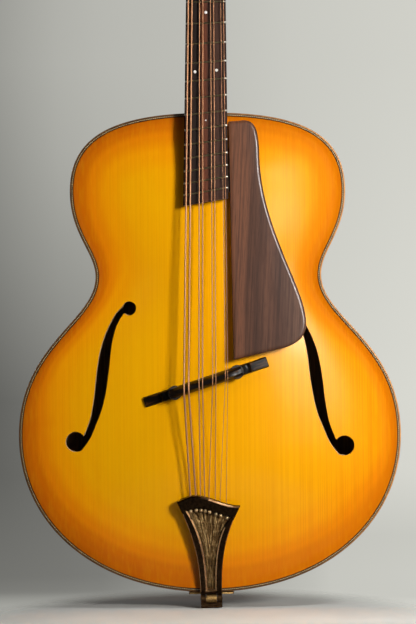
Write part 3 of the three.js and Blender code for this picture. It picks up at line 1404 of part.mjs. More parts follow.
// The winding in the head's frame, from where the string meets the post up to its end in the hole
function winding(i, from) {
  const { side, x, y } = tunerPlaces()[i];
  const radius = STRING_DIAMETERS[i] / 2;
  const wind = POST_RADIUS + GAP + radius;
  const fillet = radius + GAP / 3;
  const centre = wind - fillet;
  const turnWay = -side;
  const toPost = Math.atan2(y - from.y, x - from.x);
  const reach = Math.hypot(x - from.x, y - from.y);
  const start = toPost - turnWay * (Math.asin(wind / reach) + Math.PI / 2);
  const hole = side < 0 ? 0 : Math.PI;
  const lean = Math.asin(fillet / centre);
  const turn = turnWay * (hole - start);
  const sweep = turn - 2 * Math.PI * Math.round(turn / (2 * Math.PI)) + 2 * Math.PI * WINDING_TURNS - lean;
  const top = windingTop(i);
  const low = top - windingStep(i) * (sweep / (2 * Math.PI));
  const points = [];
  const steps = Math.round(WINDING_TURNS * WINDING_STEPS);
  for (let k = 0; k <= steps; k += 1) {
    const angle = start + (turnWay * sweep * k) / steps;
    const height = THREE.MathUtils.lerp(low, top, k / steps);
    points.push(new THREE.Vector3(x + wind * Math.cos(angle), y + wind * Math.sin(angle), height));
  }
  const end = hole - turnWay * lean;
  const middle = new THREE.Vector3(x + centre * Math.cos(end), y + centre * Math.sin(end), top);
  const filletTurn = Math.PI / 2 + lean;
  for (let k = 1; k <= FILLET_STEPS; k += 1) {
    const angle = end + (turnWay * filletTurn * k) / FILLET_STEPS;
    points.push(new THREE.Vector3(
      middle.x + fillet * Math.cos(angle), middle.y + fillet * Math.sin(angle), top,
    ));
  }
  points.push(new THREE.Vector3(x - (POST_RADIUS / 2) * Math.cos(hole), y, top));
  return points;
}

function stringRoute(i) {
  const radius = STRING_DIAMETERS[i] / 2;
  const x = tailX(i);
  const inTail = (up) => new THREE.Vector3(x, up, 0).applyMatrix4(tailToBody);
  const points = [inTail(ballUp(i)), inTail(hoodEdge(x) + HOOD_RUN_SHARE * TAILPIECE_LENGTH)];

  const along = (SADDLE_SHARES[i] * SADDLE_SPREAD) / Math.cos(BRIDGE_SLANT);
  const overSaddle = new THREE.Vector3(along, 0, stringsFront(along) + radius).applyMatrix4(bridgeToBody);
  const edge = SADDLE_TOP_WIDTH / 2 / Math.cos(BRIDGE_SLANT);
  points.push(overSaddle.clone().setY(overSaddle.y - edge), overSaddle.clone().setY(overSaddle.y + edge));

  const across = (NUT_SHARES[i] * NUT_SPREAD) / NUT_WIDTH;
  const overNut = NUT_TOP + GAP + radius;
  const front = fanPoint(0, 2 * across, overNut);
  const back = fanPoint(NUT_BACK_FRET_SHARE, 2 * across, overNut - NUT_FALL);
  points.push(front.applyMatrix4(neckToBody), back.clone().applyMatrix4(neckToBody));

  const bodyToHead = headToBody.clone().invert();
  const inHead = back.applyMatrix4(neckToBody).applyMatrix4(bodyToHead);
  points.push(...winding(i, inHead).map((p) => p.applyMatrix4(headToBody)));
  return points;
}

function ballUp(i) {
  return hoodEdge(tailX(i)) - BALL_RADIUS - GAP;
}

// Least distance of a tube from itself, between places further apart along it than half a turn
function gapToItself(points, diameter) {
  const apart = WINDING_STEPS / 2;
  const near = new THREE.Vector3();
  let least = Infinity;
  for (let i = 0; i < points.length; i += 1) {
    for (let j = i + apart; j + 1 < points.length; j += 1) {
      const stretch = new THREE.Line3(points[j], points[j + 1]);
      stretch.closestPointToPoint(points[i], true, near);
      least = Math.min(least, near.distanceTo(points[i]));
    }
  }
  return least - diameter;
}

const tailToBody = toBody(tailFrame);
STRING_NAMES.forEach((name, i) => {
  const points = stringRoute(i);
  const ball = roundBar(BALL_RADIUS, BALL_LENGTH).rotateZ(Math.PI / 2);
  const end = solid(ball.translate(tailX(i), ballUp(i), 0).applyMatrix4(tailToBody));
  const string = solid(tube(points, STRING_DIAMETERS[i] / 2)).add(end);
  add(body, `string_${name}`, geometryOf(string), bronzeString);
  const gap = gapToItself(points, STRING_DIAMETERS[i]).toFixed(2);
  console.log(`string_${name}: least gap to itself ${gap} mm`);
});

export default mandocello;
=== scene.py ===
import math

import bmesh
import bpy
import numpy as np
from mathutils import Matrix, Vector
from mathutils.geometry import delaunay_2d_cdt


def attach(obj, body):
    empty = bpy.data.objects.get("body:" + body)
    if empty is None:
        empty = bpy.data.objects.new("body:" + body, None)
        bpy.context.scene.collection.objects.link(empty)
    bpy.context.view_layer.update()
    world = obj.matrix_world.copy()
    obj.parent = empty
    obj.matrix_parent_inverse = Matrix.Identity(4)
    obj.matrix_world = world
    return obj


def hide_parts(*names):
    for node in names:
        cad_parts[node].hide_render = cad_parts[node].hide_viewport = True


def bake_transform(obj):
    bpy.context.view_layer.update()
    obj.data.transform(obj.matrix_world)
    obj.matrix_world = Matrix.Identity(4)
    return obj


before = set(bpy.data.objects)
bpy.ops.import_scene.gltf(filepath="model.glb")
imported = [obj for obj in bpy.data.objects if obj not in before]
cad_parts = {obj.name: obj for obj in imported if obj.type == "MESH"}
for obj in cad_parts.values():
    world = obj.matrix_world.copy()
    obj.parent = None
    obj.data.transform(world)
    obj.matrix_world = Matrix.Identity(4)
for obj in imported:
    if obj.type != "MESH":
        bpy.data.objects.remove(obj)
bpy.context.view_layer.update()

# The instrument is looked at level with the middle of its body, from straight in front and from far
# enough to keep its outline flat. It leans a little to the left in the picture.
PICTURE_HEIGHT = 624
PIXEL = 0.0010639
RIM_FRONT_Y = -0.0425
EYE = Vector((-0.0007, RIM_FRONT_Y - 4.0, 0.3149))
LEAN = 0.0101
FILM_HEIGHT = 24

lens = bpy.data.cameras.new("camera")
lens.sensor_fit = "VERTICAL"
lens.sensor_height = FILM_HEIGHT
lens.lens = FILM_HEIGHT * (RIM_FRONT_Y - EYE.y) / (PICTURE_HEIGHT * PIXEL)
camera = bpy.data.objects.new("camera", lens)
camera.matrix_world = (
    Matrix.Translation(EYE)
    @ Matrix.Rotation(math.pi / 2, 4, "X")
    @ Matrix.Rotation(-LEAN, 4, "Z")
)
bpy.context.scene.collection.objects.link(camera)
bpy.context.scene.camera = camera
bpy.context.scene.view_settings.view_transform = "Standard"


# The room is a grey studio sweep with one large soft window of light from the right and a weak one
# from the left. The camera sees the sweep as painted light, brighter to the right, with painted shade
# low on the left. The floor is a pale table top whose far edge melts into the sweep.
def srgb(red, green, blue):
    """A colour as it is seen, 0 to 255, turned into the amounts of light that shaders use."""
    return tuple(
        c / 12.92 if c <= 0.04045 else ((c + 0.055) / 1.055) ** 2.4
        for c in (red / 255, green / 255, blue / 255)
    ) + (1.0,)


class Nodes:
    """Adds shader nodes to one node tree, each call returning the new node's first output."""

    def __init__(self, tree):
        self.tree = tree

    def add(self, kind, inputs=(), **settings):
        node = self.tree.nodes.new(kind)
        for key, value in settings.items():
            setattr(node, key, value)
        for key, value in dict(inputs).items():
            self.put(node.inputs[key], value)
        return node

    def put(self, socket, value):
        if isinstance(value, bpy.types.NodeSocket):
            self.tree.links.new(value, socket)
        else:
            socket.default_value = value

    def math(self, operation, *values):
        node = self.tree.nodes.new("ShaderNodeMath")
        node.operation = operation
        for socket, value in zip(node.inputs, values):
            self.put(socket, value)
        return node.outputs[0]

    def ramp(self, value, stops, ease="LINEAR"):
        node = self.add("ShaderNodeValToRGB", {"Fac": value})
        node.color_ramp.interpolation = ease
        elements = node.color_ramp.elements
        while len(elements) < len(stops):
            elements.new(0.5)
        for element, (place, colour) in zip(elements, stops):
            element.position = place
            element.color = colour if len(colour) == 4 else (*colour, 1)
        return node.outputs["Color"]

    def levels(self, value, stops):
        return self.ramp(value, [(place, (level,) * 3) for place, level in stops])

    def span(self, value, low, high, to_low=0.0, to_high=1.0):
        node = self.add("ShaderNodeMapRange", {
            "Value": value, "From Min": low, "From Max": high, "To Min": to_low, "To Max": to_high})
        return node.outputs[0]

    def mix(self, share, first, second, blend="MIX"):
        node = self.add("ShaderNodeMix", data_type="RGBA", blend_type=blend)
        for socket, value in zip((node.inputs[0], node.inputs[6], node.inputs[7]), (share, first, second)):
            self.put(socket, value)
        return node.outputs[2]

    def place(self, scale=(1, 1, 1), turn=(0, 0, 0), shift=(0, 0, 0)):
        where = self.add("ShaderNodeTexCoord").outputs["Object"]
        node = self.add("ShaderNodeMapping", {
            "Vector": where, "Scale": scale, "Rotation": turn, "Location": shift})
        return node.outputs[0]

    def stretched(self, where, scale):
        return self.add("ShaderNodeMapping", {"Vector": where, "Scale": scale}).outputs[0]

    def axes(self, where):
        return self.add("ShaderNodeSeparateXYZ", {"Vector": where}).outputs

    def noise(self, where, scale=1.0, detail=2.0, rough=0.5, warp=0.0):
        node = self.add("ShaderNodeTexNoise", {
            "Vector": where, "Scale": scale, "Detail": detail, "Roughness": rough, "Distortion": warp})
        return node.outputs["Fac"]

    def attribute(self, name):
        return self.add("ShaderNodeAttribute", attribute_name=name).outputs["Fac"]


SWEEP_LEFT_PAINTED_LIGHT = [
    (0.0, 0.42), (0.02, 0.38), (0.035, 0.36), (0.045, 0.3), (0.056, 0.2), (0.08, 0.17),
    (0.14, 0.155), (0.24, 0.126), (0.36, 0.128), (0.5, 0.19), (0.6, 0.235), (0.9, 0.335),
]
SWEEP_RIGHT_PAINTED_LIGHT = [
    (0.0, 0.71), (0.025, 0.665), (0.034, 0.63), (0.043, 0.585), (0.08, 0.59), (0.14, 0.575),
    (0.24, 0.67), (0.36, 0.69), (0.5, 0.675), (0.9, 0.63),
]
ACROSS_HIGH = [
    (0.0, 0.0), (0.07, 0.17), (0.144, 0.33), (0.24, 0.45), (0.31, 0.5), (0.46, 0.57),
    (0.7, 0.84), (1.0, 1.0),
]
ACROSS_LOW = [
    (0.0, 0.0), (0.144, 0.03), (0.24, 0.066), (0.4, 0.25), (0.6, 0.6), (0.745, 0.835),
    (0.79, 0.94), (1.0, 1.0),
]
# Painted light of the sweep by the height in the view, at its left and right; between them, shares by the
# place across it, for the upper and the lower part, and how far down the lower shares hold
ACROSS_SHARE = [(0.08, 1.0), (0.28, 0.85), (0.52, 0.54), (0.6, 0.45), (0.76, 0.1), (0.9, 0.0)]
VIEW_HALF_WIDTH = 0.0553
VIEW_HALF_HEIGHT = 0.083
SWEEP_TINT = (1.0, 1.0, 0.92, 1)
ROOM_TINT = (1.0, 0.99, 0.97, 1)
ROOM_LIGHT = 0.045
ROOM_MIRRORED = 0.03

world = bpy.data.worlds.new("studio")
bpy.context.scene.world = world
world.use_nodes = True
world.node_tree.nodes.clear()
room = Nodes(world.node_tree)
direction = room.axes(room.add("ShaderNodeTexCoord").outputs["Generated"])
rightward = room.span(direction[0], -VIEW_HALF_WIDTH, VIEW_HALF_WIDTH)
upward = room.span(direction[2], -VIEW_HALF_HEIGHT, VIEW_HALF_HEIGHT)
across = room.mix(room.levels(upward, ACROSS_SHARE), room.levels(rightward, ACROSS_HIGH),
                  room.levels(rightward, ACROSS_LOW))
# The sweep's painted light and shade, which camera rays see
sweep = room.mix(across, room.levels(upward, SWEEP_LEFT_PAINTED_LIGHT), room.levels(upward, SWEEP_RIGHT_PAINTED_LIGHT))
sweep = room.mix(1.0, sweep, SWEEP_TINT, "MULTIPLY")
seen, lit, mirrored = (
    room.add("ShaderNodeBackground", {"Color": colour, "Strength": strength}).outputs[0]
    for colour, strength in ((sweep, 1.0), (ROOM_TINT, ROOM_LIGHT), (ROOM_TINT, ROOM_MIRRORED)))
ray = room.add("ShaderNodeLightPath").outputs
shown = room.math("MAXIMUM", ray["Is Camera Ray"], ray["Is Transmission Ray"])
choice = room.add("ShaderNodeMixShader", {0: ray["Is Glossy Ray"], 1: lit, 2: mirrored}).outputs[0]
choice = room.add("ShaderNodeMixShader", {0: shown, 1: choice, 2: seen}).outputs[0]
room.add("ShaderNodeOutputWorld", {"Surface": choice})


def soft_light(name, place, aim, width, height, power, colour=(1, 1, 1), spread=180):
    data = bpy.data.lights.new(name, "AREA")
    data.spread = math.radians(spread)
    data.shape = "RECTANGLE"
    data.size, data.size_y = width, height
    data.energy = power
    data.color = colour
    lamp = bpy.data.objects.new(name, data)
    lamp.location = place
    lamp.rotation_euler = (Vector(aim) - Vector(place)).to_track_quat("-Z", "Y").to_euler()
    bpy.context.scene.collection.objects.link(lamp)


soft_light("window_right", (1.31, -2.17, 0.94), (0.38, 0.0, 0.49), 0.42, 0.6, 5.1, (1.0, 0.98, 0.95), 40)
soft_light("window_sheen", (1.3, -3.4, 0.82), (0.1, 0.0, 0.36), 0.5, 1.3, 8.5, (1.0, 0.99, 0.98))
soft_light("fill_left", (-2.2, -2.4, 0.9), (0.0, 0.0, 0.4), 1.6, 1.6, 2.8)
soft_light("floor_right", (1.0, -0.9, 1.5), (0.3, -0.75, 0.0), 0.6, 0.6, 5.4, (1.0, 1.0, 1.0), 50)
soft_light("back_rim", (-1.2, 2.4, 1.1), (0.0, 0.0, 0.62), 1.4, 1.2, 1.7, (1.0, 1.0, 1.0), 36)

FLOOR_CENTRE = (0.0, -0.35)
FLOOR_RADIUS = 0.72
FLOOR_FADE = (0.46, 0.62)
FLOOR_RINGS = 24
FLOOR_SIDES = 96


def disc_mesh(name, centre, radius, rings, sides):
    points = [(centre[0], centre[1], 0.0)]
    faces = []
    for ring in range(1, rings + 1):
        for i in range(sides):
            angle = 2 * math.pi * i / sides
            reach = radius * ring / rings
            points.append((centre[0] + reach * math.cos(angle), centre[1] + reach * math.sin(angle), 0.0))
            inner = 1 + (ring - 2) * sides
            outer = 1 + (ring - 1) * sides
            j = (i + 1) % sides
            if ring == 1:
                faces.append((0, outer + i, outer + j))
            else:
                faces.append((inner + i, outer + i, outer + j, inner + j))
    mesh = bpy.data.meshes.new(name)
    mesh.from_pydata(points, [], faces)
    return mesh


floor_mesh = disc_mesh("floor", FLOOR_CENTRE, FLOOR_RADIUS, FLOOR_RINGS, FLOOR_SIDES)
floor = bpy.data.objects.new("floor", floor_mesh)
bpy.context.scene.collection.objects.link(floor)
table_top = bpy.data.materials.new("table_top")
table_top.use_nodes = True
table_top.node_tree.nodes.clear()
top_nodes = Nodes(table_top.node_tree)
spot = top_nodes.place((2.2, 1, 1), shift=(0, -FLOOR_CENTRE[1], 0))
reach = top_nodes.add("ShaderNodeVectorMath", {0: spot}, operation="LENGTH").outputs["Value"]
cloud = top_nodes.noise(spot, 9.0, 3.0)
paper = top_nodes.ramp(cloud, [(0.3, srgb(229, 231, 226)), (0.7, srgb(237, 239, 234))])
ray = top_nodes.add("ShaderNodeLightPath").outputs
bounced = top_nodes.math("MAXIMUM", ray["Is Glossy Ray"], ray["Is Diffuse Ray"])
paper = top_nodes.mix(bounced, paper, srgb(118, 116, 112))
toward_room = top_nodes.axes(spot)[1]
paper = top_nodes.mix(top_nodes.span(toward_room, -0.05, 0.12, 0.85, 0.0), paper, srgb(120, 120, 117))
matt = top_nodes.add("ShaderNodeBsdfPrincipled", {"Base Color": paper, "Roughness": 0.55}).outputs[0]
clear = top_nodes.add("ShaderNodeBsdfTransparent").outputs[0]
fade = top_nodes.add(
    "ShaderNodeMapRange", {"Value": reach, "From Min": FLOOR_FADE[0], "From Max": FLOOR_FADE[1]},
    interpolation_type="SMOOTHSTEP").outputs[0]
top_nodes.add("ShaderNodeOutputMaterial", {
    "Surface": top_nodes.add("ShaderNodeMixShader", {0: fade, 1: matt, 2: clear}).outputs[0]})
floor.data.materials.append(table_top)


# The top is carved from two spruce boards glued along the middle, arched, with a shallow dip round the
# rim and two f-holes sawn through. It is stained from yellow to burnt orange at the rim and lacquered.
BODY_TO_WORLD = Matrix.Scale(0.001, 4) @ Matrix.Rotation(math.pi / 2, 4, "X")
TAIL_UP = 17.0
BODY_TOP = 527.0
BRIDGE_UP = 240.52
LOWER_CENTRE = 184.0
UPPER_CENTRE = 444.0
RIB_HALF = 38.0
RIM_FRONT = 42.5
BINDING_WIDTH = 3.2
OUTLINE_HANDLES = [
    ((0, 0), (120.904, 0), (203.2, 71.81), (203.2, 167)),
    ((203.2, 167), (203.2, 265.6), (120, 289.4), (120, 337)),
    ((120, 337), (120, 362.2), (146.5, 382), (146.5, 427)),
    ((146.5, 427), (146.5, 489.25), (95.225, 510), (0, 510)),
]
STRETCH_POINTS = 64


def bowed(a, b, c, d, steps, endpoint=True):
    """Points along a smooth bow from a to d, which b and c pull towards themselves."""
    t = np.linspace(0, 1, steps, endpoint=endpoint)[:, None]
    a, b, c, d = (np.array(v, float) for v in (a, b, c, d))
    return (1 - t) ** 3 * a + 3 * (1 - t) ** 2 * t * b + 3 * (1 - t) * t ** 2 * c + t ** 3 * d


def outline_stretch(handles, count):
    """Points along one stretch of the outline, with the direction of travel at each."""
    a, b, c, d = (np.array(h, float) for h in handles)
    t = np.linspace(0, 1, count + 1)[:, None]
    way = 3 * (1 - t) ** 2 * (b - a) + 6 * (1 - t) * t * (c - b) + 3 * t ** 2 * (d - c)
    return bowed(a, b, c, d, count + 1), way / np.linalg.norm(way, axis=1, keepdims=True)


def half_outline(inset):
    """The treble half of the body from the tail to the neck, set in from the ribs' outer face."""
    rows = []
    for i, handles in enumerate(OUTLINE_HANDLES):
        place, way = outline_stretch(handles, STRETCH_POINTS)
        moved = place + inset * np.stack([-way[:, 1], way[:, 0]], axis=1)
        rows.append(moved if i == 0 else moved[1:])
    line = np.concatenate(rows)
    line[:, 1] += TAIL_UP
    line[0, 0] = line[-1, 0] = 0.0
    return line


def full_outline(inset):
    half = half_outline(inset)
    return np.concatenate([half, half[1:-1][::-1] * (-1, 1)])


PLATE_LINE = half_outline(BINDING_WIDTH)


def plate_share(x, y):
    """How far each point lies on the way from the plate's ridge, 0, to its edge, 1."""
    x, y = np.abs(np.asarray(x, float)), np.asarray(y, float)
    line = PLATE_LINE
    between = np.interp(y, line[:, 1], line[:, 0])
    share = x / np.maximum(between, 1e-6)
    for centre, sign in ((LOWER_CENTRE, -1), (UPPER_CENTRE, 1)):
        beyond = (line[:, 1] - centre) * sign >= 0
        edge = line[beyond]
        angle = np.arctan2(edge[:, 0], (edge[:, 1] - centre) * sign)
        order = np.argsort(angle)
        distance = np.hypot(edge[:, 0], edge[:, 1] - centre)
        at = np.arctan2(x, (y - centre) * sign)
        outside = (y - centre) * sign > 0
        limit = np.interp(at, angle[order], distance[order])
        share = np.where(outside, np.hypot(x, y - centre) / limit, share)
    return share


def arch_height(x, y, arch, rim, dip, start):
    """Height of an arched face: a dip near the edge and a smooth rise to the ridge."""
    share = np.minimum(plate_share(x, y), 1.0)
    ridge = np.clip(y, LOWER_CENTRE, UPPER_CENTRE)
    fall = 1 - 0.6 * ((ridge - BRIDGE_UP) / (UPPER_CENTRE - LOWER_CENTRE)) ** 2
    rise = arch * fall * (1 + np.cos(np.pi * (np.minimum(share, start) / start) ** 1.25)) / 2
    hollow = -dip * np.sin(np.pi * (1 - share) / (1 - start)) ** 2
    return rim + np.where(share >= start, hollow, rise)


TOP_ARCH = 16.0
BACK_ARCH = 14.5


def outer_face(x, y, arch=TOP_ARCH):
    return arch_height(x, y, arch, RIM_FRONT, 0.35, 0.9)


def inner_face(x, y, arch=TOP_ARCH):
    return arch_height(x, y, arch - 0.5, RIB_HALF, 0.0, 0.92)


F_HOLE_TOP, F_HOLE_IN, F_HOLE_LENGTH, F_HOLE_SPREAD = 319.6, 84.5, 141.4, 58.4
F_HOLE_EYES = (((0, 0), 7.5), ((1, 1), 10.7))
F_HOLE_OUTER = [
    (0.107, -0.022), (0.244, 0.036), (0.368, 0.125), (0.473, 0.225), (0.544, 0.325), (0.594, 0.4375),
    (0.626, 0.5375), (0.652, 0.6375), (0.688, 0.7375), (0.732, 0.825), (0.796, 0.9), (0.86, 0.96),
]
F_HOLE_INNER = [
    (0.97, 1.0745), (0.9, 1.067), (0.827, 1.033), (0.715, 0.9625), (0.612, 0.8625), (0.517, 0.7625),
    (0.454, 0.6625), (0.406, 0.55), (0.369, 0.4375), (0.345, 0.3375), (0.304, 0.2375), (0.256, 0.1625),
    (0.178, 0.0875), (0.075, 0.03),
]
TREBLE_DROP = 6.6


def through(points, steps):
    """A smooth line through points, the same one that the solids use."""
    points = np.array(points, float)
    padded = np.concatenate([points[:1], points, points[-1:]])
    rows = []
    for a, b, c, d in zip(padded, padded[1:], padded[2:], padded[3:]):
        t = np.linspace(0, 1, steps, endpoint=False)[:, None]
        v0, v1 = (c - a) / 2, (d - b) / 2
        rows.append((2 * b - 2 * c + v0 + v1) * t ** 3 + (-3 * b + 3 * c - 2 * v0 - v1) * t ** 2 + v0 * t + b)
    return np.concatenate(rows + [points[-1:]])


def f_hole_loops(side, drop):
    """The stem and the two eyes of one f-hole, as closed lines that overlap each other."""
    def place(shares):
        shares = np.array(shares, float).reshape(-1, 2)
        return np.stack([side * (F_HOLE_IN + shares[:, 0] * F_HOLE_SPREAD),
                         F_HOLE_TOP - drop - shares[:, 1] * F_HOLE_LENGTH], axis=1)
    turn = np.linspace(0, 2 * np.pi, 48, endpoint=False)
    ring = np.stack([np.cos(turn), np.sin(turn)], axis=1)
    loops = [np.concatenate([through(place(F_HOLE_OUTER), 5), through(place(F_HOLE_INNER), 5)])]
    return loops + [place(at) + radius * ring for at, radius in F_HOLE_EYES]


def inside_loop(points, loop):
    """Which of the points lie inside a closed line."""
    a, b = loop, np.roll(loop, -1, axis=0)
    x, y = points[:, 0][:, None], points[:, 1][:, None]
    spans = (a[:, 1] > y) != (b[:, 1] > y)
    with np.errstate(divide="ignore", invalid="ignore"):
        cross = a[:, 0] + (y - a[:, 1]) * (b[:, 0] - a[:, 0]) / (b[:, 1] - a[:, 1])
    return (spans & (x < cross)).sum(axis=1) % 2 == 1


def distance_to_loop(points, loop):
    """Distance of each point from a closed line."""
    a, way = loop, np.roll(loop, -1, axis=0) - loop
    offset = points[:, None, :] - a[None]
    t = np.clip((offset * way).sum(axis=2) / np.maximum((way * way).sum(axis=1), 1e-9), 0, 1)
    return np.linalg.norm(offset - t[..., None] * way, axis=2).min(axis=1)


def smooth(mesh, sharp):
    """Smooth shading, except along edges sharper than an angle in degrees."""
    mesh.shade_smooth()
    mesh.set_sharp_from_angle(angle=math.radians(sharp))


def new_piece(name, points, faces, finishes, face_finish=None, sharp=35.0, to_world=BODY_TO_WORLD):
    """A mesh object from points in millimetres, smooth except along edges sharper than an angle."""
    mesh = bpy.data.meshes.new(name)
    mesh.from_pydata([tuple(map(float, p)) for p in points], [], [tuple(map(int, f)) for f in faces])
    mesh.transform(to_world)
    for finish in finishes:
        mesh.materials.append(finish)
    if face_finish is not None:
        mesh.polygons.foreach_set("material_index", np.array(face_finish, dtype=np.int32))
    smooth(mesh, sharp)
    mesh.update()
    piece = bpy.data.objects.new(name, mesh)
    bpy.context.scene.collection.objects.link(piece)
    return piece


def note(piece, name, values):
    """Keeps one number for each point of a piece, for its finish to read."""
    piece.data.attributes.new(name, "FLOAT", "POINT").data.foreach_set("value", np.array(values, np.float32))


RIM_RINGS = (1.2, 2.6, 4.4, 6.8, 10.0, 14.0)


def plate_mesh(outline, loops, spacing):
    """Flat triangles inside an outline and outside the loops, with the open edges that are left."""
    low, high = outline.min(axis=0), outline.max(axis=0)
    rows = []
    for i, y in enumerate(np.arange(low[1], high[1], spacing * math.sqrt(3) / 2)):
        x = np.arange(low[0], high[0], spacing) + (i % 2) * spacing / 2
        rows.append(np.stack([x, np.full_like(x, y)], axis=1))
    grid = np.concatenate(rows)
    keep = inside_loop(grid, outline) & (distance_to_loop(grid, outline) > RIM_RINGS[-1] + spacing * 0.5)
    for loop in loops:
        keep &= ~inside_loop(grid, loop) & (distance_to_loop(grid, loop) > spacing * 0.4)
    grid = grid[keep]
    points, edges = [], []
    for line in [outline, *loops]:
        start = len(points)
        points.extend(map(tuple, line))
        edges.extend((start + i, start + (i + 1) % len(line)) for i in range(len(line)))
    points.extend(map(tuple, grid))
    for inset in RIM_RINGS:
        points.extend(map(tuple, full_outline(BINDING_WIDTH + inset)))
    made = delaunay_2d_cdt([Vector(p) for p in points], edges, [], 0, 1e-5)
    flat = np.array([tuple(p) for p in made[0]])
    faces = np.array([f for f in made[2] if len(f) == 3])
    middle = flat[faces].mean(axis=1)
    keep = inside_loop(middle, outline)
    for loop in loops:
        keep &= ~inside_loop(middle, loop)
    faces = faces[keep]
    used = np.unique(faces)
    index = np.full(len(flat), -1)
    index[used] = np.arange(len(used))
    flat, faces = flat[used], index[faces]
    a, b, c = (flat[faces[:, k]] for k in range(3))
    turned = (b[:, 0] - a[:, 0]) * (c[:, 1] - a[:, 1]) - (b[:, 1] - a[:, 1]) * (c[:, 0] - a[:, 0]) < 0
    faces[turned] = faces[turned][:, ::-1]
    sides = np.concatenate([faces[:, pair] for pair in ([0, 1], [1, 2], [2, 0])])
    sides = {tuple(side) for side in sides.tolist()}
    return flat, faces, [e for e in sides if e[::-1] not in sides]


CUT_SLOPE = 0.7


def carved_plate(name, loops, arch, finishes):
    """An arched plate of wood with upright walls at its edge and at its holes."""
    outline = full_outline(BINDING_WIDTH)
    flat, faces, rim = plate_mesh(outline, loops, 5.0)
    count = len(flat)
    x, y = flat[:, 0], flat[:, 1]
    front = np.stack([x, y, outer_face(x, y, arch)], axis=1)
    back = np.stack([x, y, inner_face(x, y, arch)], axis=1)
    near_edge = distance_to_loop(flat, outline)
    aside = np.zeros_like(flat)
    for a, b in rim:
        way = (flat[b] - flat[a]) / np.linalg.norm(flat[b] - flat[a])
        aside[[a, b]] += (way[1], -way[0])
    aside /= np.maximum(np.linalg.norm(aside, axis=1, keepdims=True), 1e-9)
    back[:, :2] += np.where((near_edge[:, None] > 0.5) & (aside[:, :1] > 0), CUT_SLOPE * aside, 0)
    all_faces = [tuple(f) for f in faces] + [tuple(f[::-1] + count) for f in faces]
    all_faces += [(b, a, a + count, b + count) for a, b in rim]
    kinds = [0] * len(faces) + [1] * len(faces) + [0 if near_edge[a] < 0.5 else 2 for a, _ in rim]
    piece = new_piece(name, np.concatenate([front, back]), all_faces, finishes, kinds)
    note(piece, "from_edge", np.concatenate([near_edge, near_edge]))
    return piece


def new_finish(name, **sockets):
    """A material with one principled shader whose plain numbers stand on its own sockets."""
    finish = bpy.data.materials.new(name)
    finish.use_nodes = True
    finish.node_tree.nodes.clear()
    nodes = Nodes(finish.node_tree)
    shader = nodes.add("ShaderNodeBsdfPrincipled", {k.replace("_", " "): v for k, v in sockets.items()})
    nodes.add("ShaderNodeOutputMaterial", {"Surface": shader.outputs[0]})
    return finish, nodes, shader


def relief(nodes, shader, height, strength, depth):
    """Lets a height pattern show as fine relief."""
    bump = nodes.add("ShaderNodeBump", {"Height": height, "Strength": strength, "Distance": depth})
    nodes.put(shader.inputs["Normal"], bump.outputs[0])


# Stain across the plate by the distance from its edge in millimetres
STAIN_REACH = 150.0
STAIN = [
    (0.0, srgb(176, 82, 0)), (4, srgb(194, 94, 0)), (10, srgb(211, 107, 0)), (20, srgb(235, 132, 0)),
    (38, srgb(250, 160, 0)), (62, srgb(252, 174, 0)), (95, srgb(252, 179, 0)),
    (STAIN_REACH, srgb(249, 178, 0)),
]

spruce_top, n, shader = new_finish(
    "stained_spruce", Roughness=0.38, Specular_IOR_Level=0.3, Specular_Tint=srgb(255, 190, 60),
    Coat_Weight=0.5, Coat_Roughness=0.18)
cloudy = n.noise(n.place((5, 5, 2)), 1.0, 2.0, 0.5)
spot = n.axes(n.place())
inner = n.span(n.attribute("from_edge"), 2, 20)
# The burst is narrowed below the waist, most on the left, and on the right of the lower bout, which makes
# them lighter, and widened towards the bottom, which makes it darker. This is partly the stain and partly
# painted light and shade.
waist = n.levels(spot[2], [(0.2, 0.0), (0.27, 1.0), (0.31, 1.0), (0.36, 0.3), (0.42, 0.0)])
right = n.levels(spot[2], [(0.12, 0.0), (0.17, 1.0), (0.26, 1.0), (0.32, 0.0)])
wider = n.math("ADD", n.math("MULTIPLY", waist, n.span(spot[0], -0.1, 0.1, 22, 8)),
               n.math("MULTIPLY", right, n.span(spot[0], 0.1, 0.18, 0, 14)))
wider = n.math("ADD", wider, n.span(spot[2], 0.03, 0.17, -12, 0))
depth = n.math("ADD", n.attribute("from_edge"), n.span(cloudy, 0.3, 0.7, -3, 5))
depth = n.math("ADD", depth, n.math("MULTIPLY", inner, wider))
stain = n.ramp(n.span(depth, 0, STAIN_REACH), [(d / STAIN_REACH, c) for d, c in STAIN], "EASE")
years = n.noise(n.place((1, 0.03, 0.004), shift=(3.1, 0, 0)), 760.0, 1.0, 0.5)
late = n.levels(years, [(0.44, 0.0), (0.58, 1.0)])
broad = n.noise(n.place((60, 60, 0.6)), 1.0, 2.0, 0.5)
silk = n.noise(n.place((420, 420, 60)), 1.0, 2.0, 0.6)
near_rim = n.span(n.attribute("from_edge"), 60, 10, 0.0, 0.35)
shown_late = n.math("MULTIPLY", late, n.span(spot[0], -0.04, 0.12, 0.2, 0.6))
shown_late = n.math("MULTIPLY", shown_late, n.math("ADD", near_rim, 0.75))
grain = n.mix(shown_late, stain, n.mix(0.5, stain, srgb(196, 92, 0)))
grain = n.mix(n.span(broad, 0.35, 0.7, 0.0, 0.1), grain, srgb(236, 140, 0))
grain = n.mix(n.span(silk, 0.45, 0.75, 0.0, 0.08), grain, srgb(255, 214, 20))
grain = n.mix(n.span(spot[0], -0.08, 0.06, 0.0, 0.22), grain, srgb(244, 140, 0))
grain = n.mix(n.span(n.attribute("from_edge"), 0.5, 1.0, 0.9, 0.0), grain, srgb(30, 16, 8))
n.put(shader.inputs["Base Color"], grain)
relief(n, shader, n.math("ADD", late, n.math("MULTIPLY", silk, 0.6)), 0.12, 0.0002)

